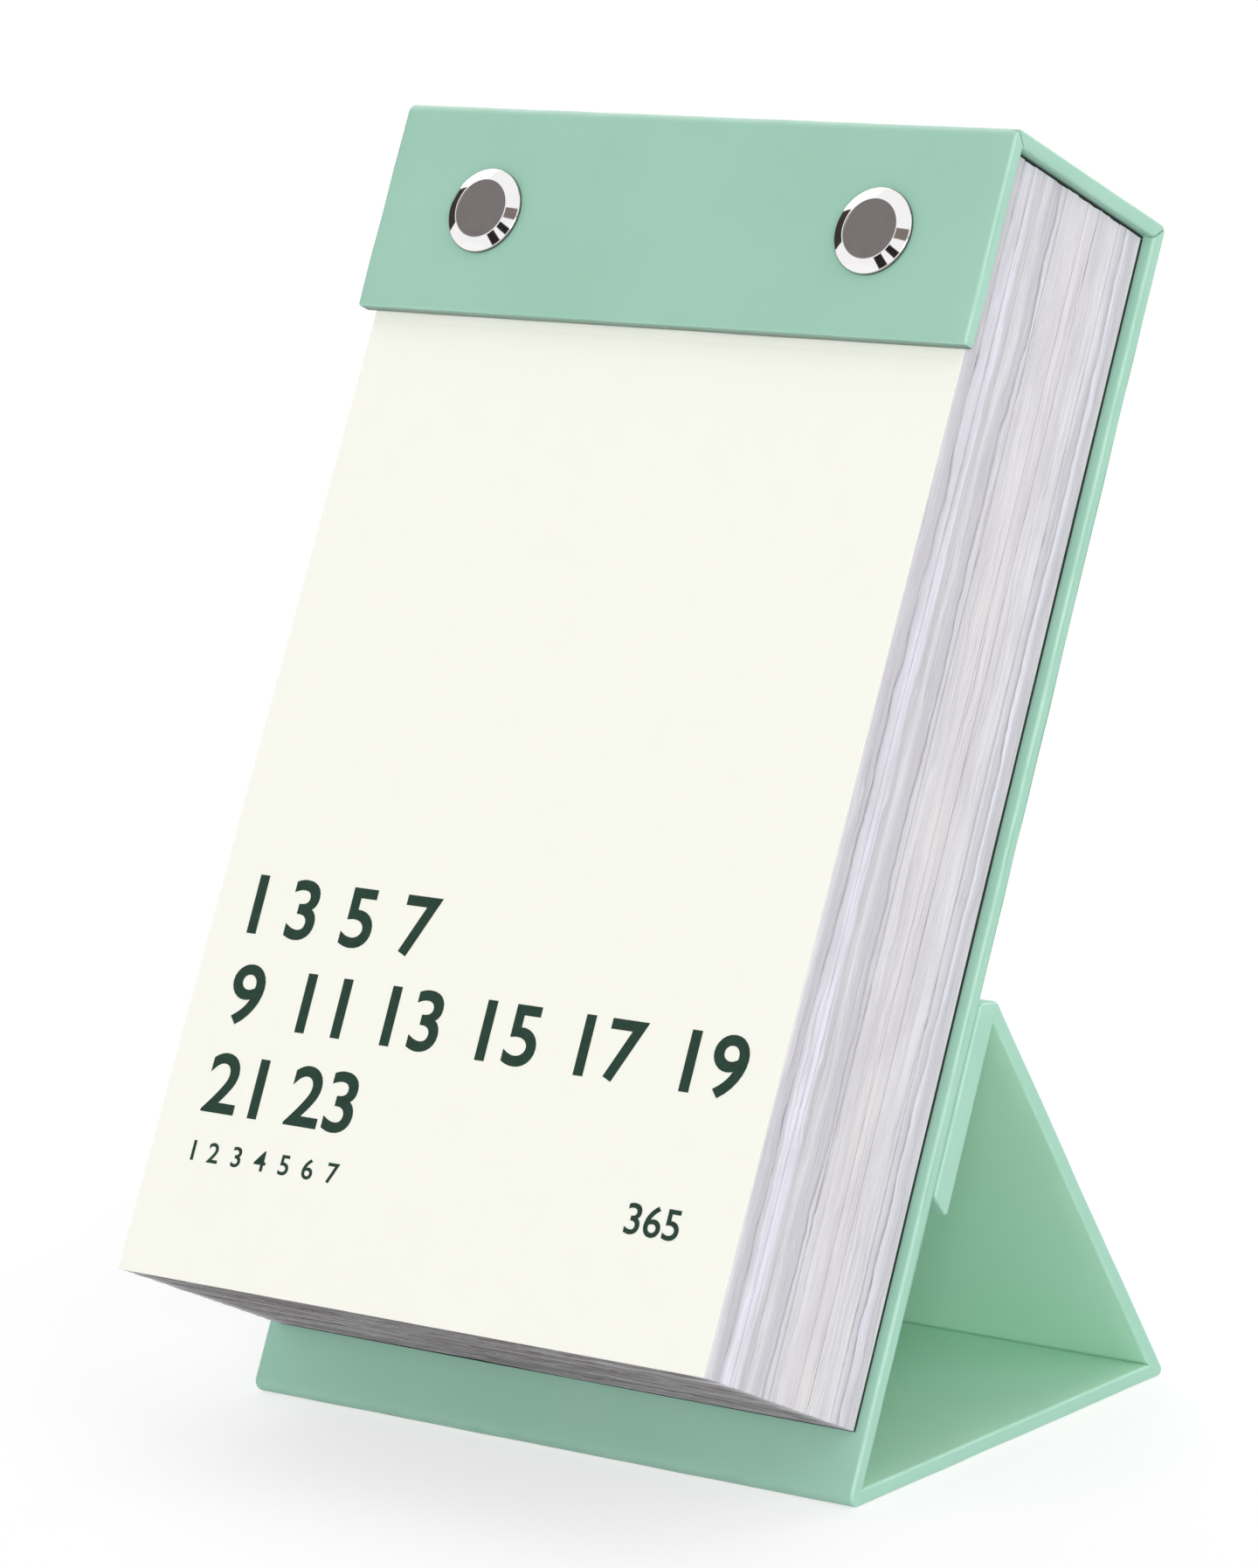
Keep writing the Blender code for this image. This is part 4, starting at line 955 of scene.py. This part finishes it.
def make_front_leaf():
    """The cream first leaf, above and below its perforation, with rows of points close together
    just below the strip.
    """
    low, high = box_in("front_sheet", SHEET_PLACE)
    stub_high = box_in("front_sheet_stub", SHEET_PLACE)[1]
    heights = []
    height = low.z
    while height < -SHEET_BEND:
        heights.append(height)
        height += SHEET_ALONG
    heights.extend([-SHEET_BEND + step * SHEET_BEND / BEND_STEPS for step in range(BEND_STEPS)])
    heights.extend([-PERFORATION_REACH, 0.0, PERFORATION_REACH, stub_high.z / 2, stub_high.z])
    across = round((high.x - low.x) / SHEET_ALONG)
    verts, faces = [], []
    for back in (False, True):
        for z in heights:
            groove = PERFORATION_DEPTH if z == 0 else 0.0
            for step in range(across + 1):
                x = low.x + (high.x - low.x) * step / across
                bow = SHEET_BOW + ripple(x, z, SHEET_WAVE)
                y = bow + (SHEET_THICKNESS if back else groove)
                slipped = x - BLOCK_LEAN * min(0.0, z) / low.z
                verts.append(Vector((slipped, y, z)) * MM)
    rows = len(heights)
    wide = across + 1
    rear = rows * wide
    for row in range(rows - 1):
        for step in range(across):
            a = row * wide + step
            faces.append((a, a + 1, a + wide + 1, a + wide))
            faces.append((rear + a + wide, rear + a + wide + 1, rear + a + 1, rear + a))
        for a, b in ((row * wide + across, (row + 1) * wide + across),
                     ((row + 1) * wide, row * wide)):
            faces.append((a, rear + a, rear + b, b))
    for step in range(across):
        top = (rows - 1) * wide + step
        faces.append((step, rear + step, rear + step + 1, step + 1))
        faces.append((top + 1, rear + top + 1, rear + top, top))
    mesh = solid("front_leaf", verts, faces, smooth_deg=60)
    piece = put("front_leaf", mesh, SHEET_PLACE, CREAM)
    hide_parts("front_sheet", "front_sheet_stub")
    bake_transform(piece)


def number_mesh(text, height, swelling, left, z, cage):
    """Adds one plain printed number to a mesh being built. Returns where it ends to the right."""
    curve = bpy.data.curves.new("number", "FONT")
    curve.body = text
    curve.size = height / FIGURE_SHARE * MM
    curve.extrude = PRINT_THICKNESS / 2 * MM
    curve.offset = swelling * MM
    curve.resolution_u = 6
    drawn = bpy.data.objects.new("number", curve)
    bpy.context.scene.collection.objects.link(drawn)
    drawn.rotation_euler = (math.pi / 2, 0, 0)
    drawn.scale.x = WIDENED
    mesh = as_shown(drawn)
    mesh.transform(drawn.matrix_world)
    first = min(vert.co.x for vert in mesh.vertices)
    last = max(vert.co.x for vert in mesh.vertices)
    place = Vector((left * MM - first, -PRINT_THICKNESS / 2 * MM, z * MM))
    mesh.transform(Matrix.Translation(place))
    cage.from_mesh(mesh)
    bpy.data.objects.remove(drawn, do_unlink=True)
    return left + (last - first) / MM


def make_print():
    """Plain numbers on the front leaf: odd days, the days of a week, and the days of a year."""
    cage = bmesh.new()
    for left, z, height, swelling, gap, numbers in PRINTED_ROWS:
        for number in numbers:
            left = gap + number_mesh(str(number), height, swelling, left, z, cage)
    bmesh.ops.remove_doubles(cage, verts=cage.verts, dist=ROUNDING * MM)
    piece = put("printed_numbers", taken_from(cage, "printed_numbers"), SHEET_PLACE, INK)
    belongs(piece, "front_sheet", "cream_paper")


def make_slab(name, node, material, slot):
    """A card or tape with softened long edges, in the place of its node."""
    low, high = box_in(node, BACK_PLACE)
    corners = [
        (y, z, CARD_ROUNDING)
        for y, z in ((low.y, low.z), (high.y, low.z), (high.y, high.z), (low.y, high.z))]
    mesh = lofted(name, corners, BACK_PLACE, width=high.x - low.x, drop=CARD_ROUNDING)
    belongs(put(name, mesh, BACK_PLACE, material), "block_and_back", slot, node)


# Screw posts


def turned(name, profile):
    """A round mesh about z from a profile of radius and height."""
    verts, radii = [], []
    for radius, height in profile:
        for step in range(HEAD_STEPS):
            turn = 2 * math.pi * step / HEAD_STEPS
            verts.append(Vector((radius * math.cos(turn), radius * math.sin(turn), height)) * MM)
            radii.append(radius)
    mesh = solid(name, verts, tube_faces(len(profile), HEAD_STEPS), smooth_deg=30)
    mark(mesh, "from_axis", radii)
    return mesh


def standing_out(low, high, depth, tilt):
    """The place of a turned piece over a node's middle, on a face at a depth, tilted about x."""
    centre = Vector(((low.x + high.x) / 2, depth, (low.z + high.z) / 2)) * MM
    return BACK_PLACE @ Matrix.Translation(centre) @ Matrix.Rotation(tilt, 4, "X")


def make_post_heads():
    """The chrome heads: a wall, a bevel that steepens outwards, and a slightly dished face."""
    for side in ("left", "right"):
        low, high = box_in(f"screw_post_{side}", BACK_PLACE)
        radius = (high.x - low.x) / 2
        face = radius * HEAD_FACE_SHARE
        profile = [(radius - inwards, height) for inwards, height in HEAD_WALL]
        inner = face + BEVEL_ENDS[0]
        for share in BEVEL_STEPS:
            run = share * (radius - BEVEL_ENDS[1] - inner)
            fall = BEVEL_TOP + run * (BEVEL_FALL + BEVEL_CURVE * run)
            profile.append((inner + run, HEAD_HEIGHT - fall))
        profile += [(face + outwards, HEAD_HEIGHT - drop) for outwards, drop in FACE_RIM]
        profile += [(inside, HEAD_HEIGHT - FACE_DISH) for inside in (face / 2, MIDDLE_RADIUS)]
        place = standing_out(low, high, STRIP_LOW.y, math.pi / 2)
        name = f"post_head_{side}"
        material = plated_brass(face, radius)
        belongs(put(name, turned(name, profile), place, material),
                "block_and_back", "chrome", f"screw_post_{side}")


def make_rear_screws():
    """The low slotted heads on the back, whose screws turn into the posts."""
    for side in ("left", "right"):
        low, high = box_in(f"post_screw_{side}", BACK_PLACE)
        radius = (high.x - low.x) / 2
        tall = high.y - BACK_HIGH.y
        profile = [(radius - inwards, height) for inwards, height in SCREW_WALL]
        profile += [(radius - inwards, tall - drop) for inwards, drop in SCREW_CROWN]
        profile.append((MIDDLE_RADIUS, tall))
        place = standing_out(low, high, BACK_HIGH.y, -math.pi / 2)
        name = f"rear_screw_{side}"
        piece = put(name, turned(name, profile), place, NICKEL)
        size = Vector((3 * radius, SLOT_WIDTH, 2 * SLOT_DEPTH)) * MM
        cage = bmesh.new()
        bmesh.ops.create_cube(cage, size=1.0)
        bmesh.ops.scale(cage, vec=size, verts=cage.verts)
        bmesh.ops.translate(cage, vec=Vector((0, 0, tall)) * MM, verts=cage.verts)
        slot = taken_from(cage, f"{name}_slot")
        carve(piece, [put(f"{name}_slot", slot, place, NICKEL)])
        belongs(piece, "block_and_back", "screw_steel", f"post_screw_{side}")


# Floor, world, lights and camera


def rectangle(name, wide, tall):
    """A flat mesh about its own middle, with its width and height in metres."""
    cage = bmesh.new()
    bmesh.ops.create_grid(cage, x_segments=1, y_segments=1, size=0.5)
    bmesh.ops.scale(cage, vec=(wide, tall, 1), verts=cage.verts)
    return taken_from(cage, name)


def background_rays(tree):
    """1 for what the camera, reflections and clear things see of the studio, otherwise 0."""
    rays = add(tree, "ShaderNodeLightPath")
    seen = rays.outputs["Is Camera Ray"]
    for kind in ("Is Glossy Ray", "Is Transmission Ray"):
        seen = add(tree, "ShaderNodeMath", {
            0: seen, 1: rays.outputs[kind]}, operation="MAXIMUM").outputs[0]
    return seen


def make_floor():
    """A pale studio table that keeps the object's soft shadow."""
    made, tree, shader = new_finish("white_studio_floor")
    shown = background_rays(tree)
    tone = add(tree, "ShaderNodeMapRange", {
        "Value": shown, "To Min": FLOOR_BOUNCE, "To Max": FLOOR_SHOWN})
    lift = add(tree, "ShaderNodeMath", {0: shown, 1: FLOOR_LIFT}, operation="MULTIPLY")
    feed(shader, {
        "Base Color": tone.outputs["Result"], "Roughness": 0.9, "Specular IOR Level": 0.0,
        "Emission Color": WHITE, "Emission Strength": lift.outputs[0]})
    mesh = rectangle("studio_floor", FLOOR_SIZE, FLOOR_SIZE)
    put("studio_floor", mesh, Matrix.Identity(4), made)


def make_cards():
    """Studio cards that only the bright metal shows, as the marks in its reflections."""
    for name, tone, centre, wide, tall, tilt in CARDS:
        made, _, shader = new_finish(name)
        feed(shader, {"Base Color": hex_colour(tone), "Roughness": 1.0})
        facing = (Vector(HEADS_MIDDLE) - Vector(centre)).to_track_quat("Z", "Y")
        place = Matrix.Translation(centre) @ facing.to_matrix().to_4x4()
        place = place @ Matrix.Rotation(math.radians(tilt), 4, "Z")
        card = put(name, rectangle(name, wide, tall), place, made)
        card.visible_camera = False
        card.visible_diffuse = False
        card.visible_shadow = False


def make_world():
    """White to the camera and in reflections, and a plain soft light otherwise."""
    world = bpy.data.worlds.new("white_studio")
    bpy.context.scene.world = world
    world.use_nodes = True
    tree = world.node_tree
    soft = tree.nodes["Background"]
    feed(soft, {"Color": WHITE, "Strength": AMBIENT})
    white = add(tree, "ShaderNodeBackground", {"Color": WHITE, "Strength": 1.0})
    mixed = add(tree, "ShaderNodeMixShader", {
        0: background_rays(tree), 1: soft.outputs[0], 2: white.outputs[0]})
    feed(tree.nodes["World Output"], {"Surface": mixed.outputs[0]})


def make_lamp(name, azimuth, elevation, spread, level):
    """A broad soft lamp far away, to the object's right by its azimuth and up by its elevation.

    A white surface that faces it shows the level.
    """
    lamp = bpy.data.lights.new(name, "SUN")
    lamp.angle = math.radians(spread)
    lamp.energy = level * math.pi
    holder = bpy.data.objects.new(name, lamp)
    bpy.context.scene.collection.objects.link(holder)
    turn, rise = math.radians(azimuth), math.radians(elevation)
    to_lamp = Vector((math.sin(turn) * math.cos(rise), -math.cos(turn) * math.cos(rise),
                      math.sin(rise)))
    holder.rotation_euler = to_lamp.to_track_quat("Z", "Y").to_euler()


def make_camera():
    """The camera of the photograph."""
    yaw, pitch = math.radians(CAMERA_YAW_DEG), math.radians(CAMERA_PITCH_DEG)
    forward = Vector((-math.sin(yaw) * math.cos(pitch), math.cos(yaw) * math.cos(pitch),
                      -math.sin(pitch)))
    right = Vector((math.cos(yaw), math.sin(yaw), 0))
    up = right.cross(forward)
    turn = Matrix((right, up, -forward)).transposed().to_4x4()
    turn = turn @ Matrix.Rotation(math.radians(CAMERA_ROLL_DEG), 4, "Z")
    data = bpy.data.cameras.new("camera")
    data.sensor_fit = "HORIZONTAL"
    data.sensor_width = SENSOR_WIDTH
    data.lens = FOCAL_PX / IMAGE_WIDTH_PX * SENSOR_WIDTH
    camera = bpy.data.objects.new("camera", data)
    bpy.context.scene.collection.objects.link(camera)
    where = Vector(CAMERA_AIM) - forward * CAMERA_DISTANCE
    camera.matrix_world = Matrix.Translation(where * MM) @ turn
    bpy.context.scene.camera = camera


make_camera()
make_world()
make_floor()
make_cards()
for name, *settings in LAMPS:
    make_lamp(name, *settings)
make_head_case()
make_base_and_strut()
make_flap()
make_folds()
make_block()
make_front_leaf()
make_print()
make_slab("backing_card_sheet", "backing_card", BLACK_CARD, "black_card")
make_slab("head_tape_strip", "head_tape", BLACK_TAPE, "black_tape")
make_post_heads()
make_rear_screws()

# Boards and magnets inside the covers keep their solids, in finishes of their own
for node, hidden in frame["nodes"].items():
    for part, material in (("_board", GREYBOARD), ("_magnet", NICKEL)):
        if part in node:
            hidden.data.materials.clear()
            hidden.data.materials.append(material)

bpy.context.scene.view_settings.view_transform = "Standard"
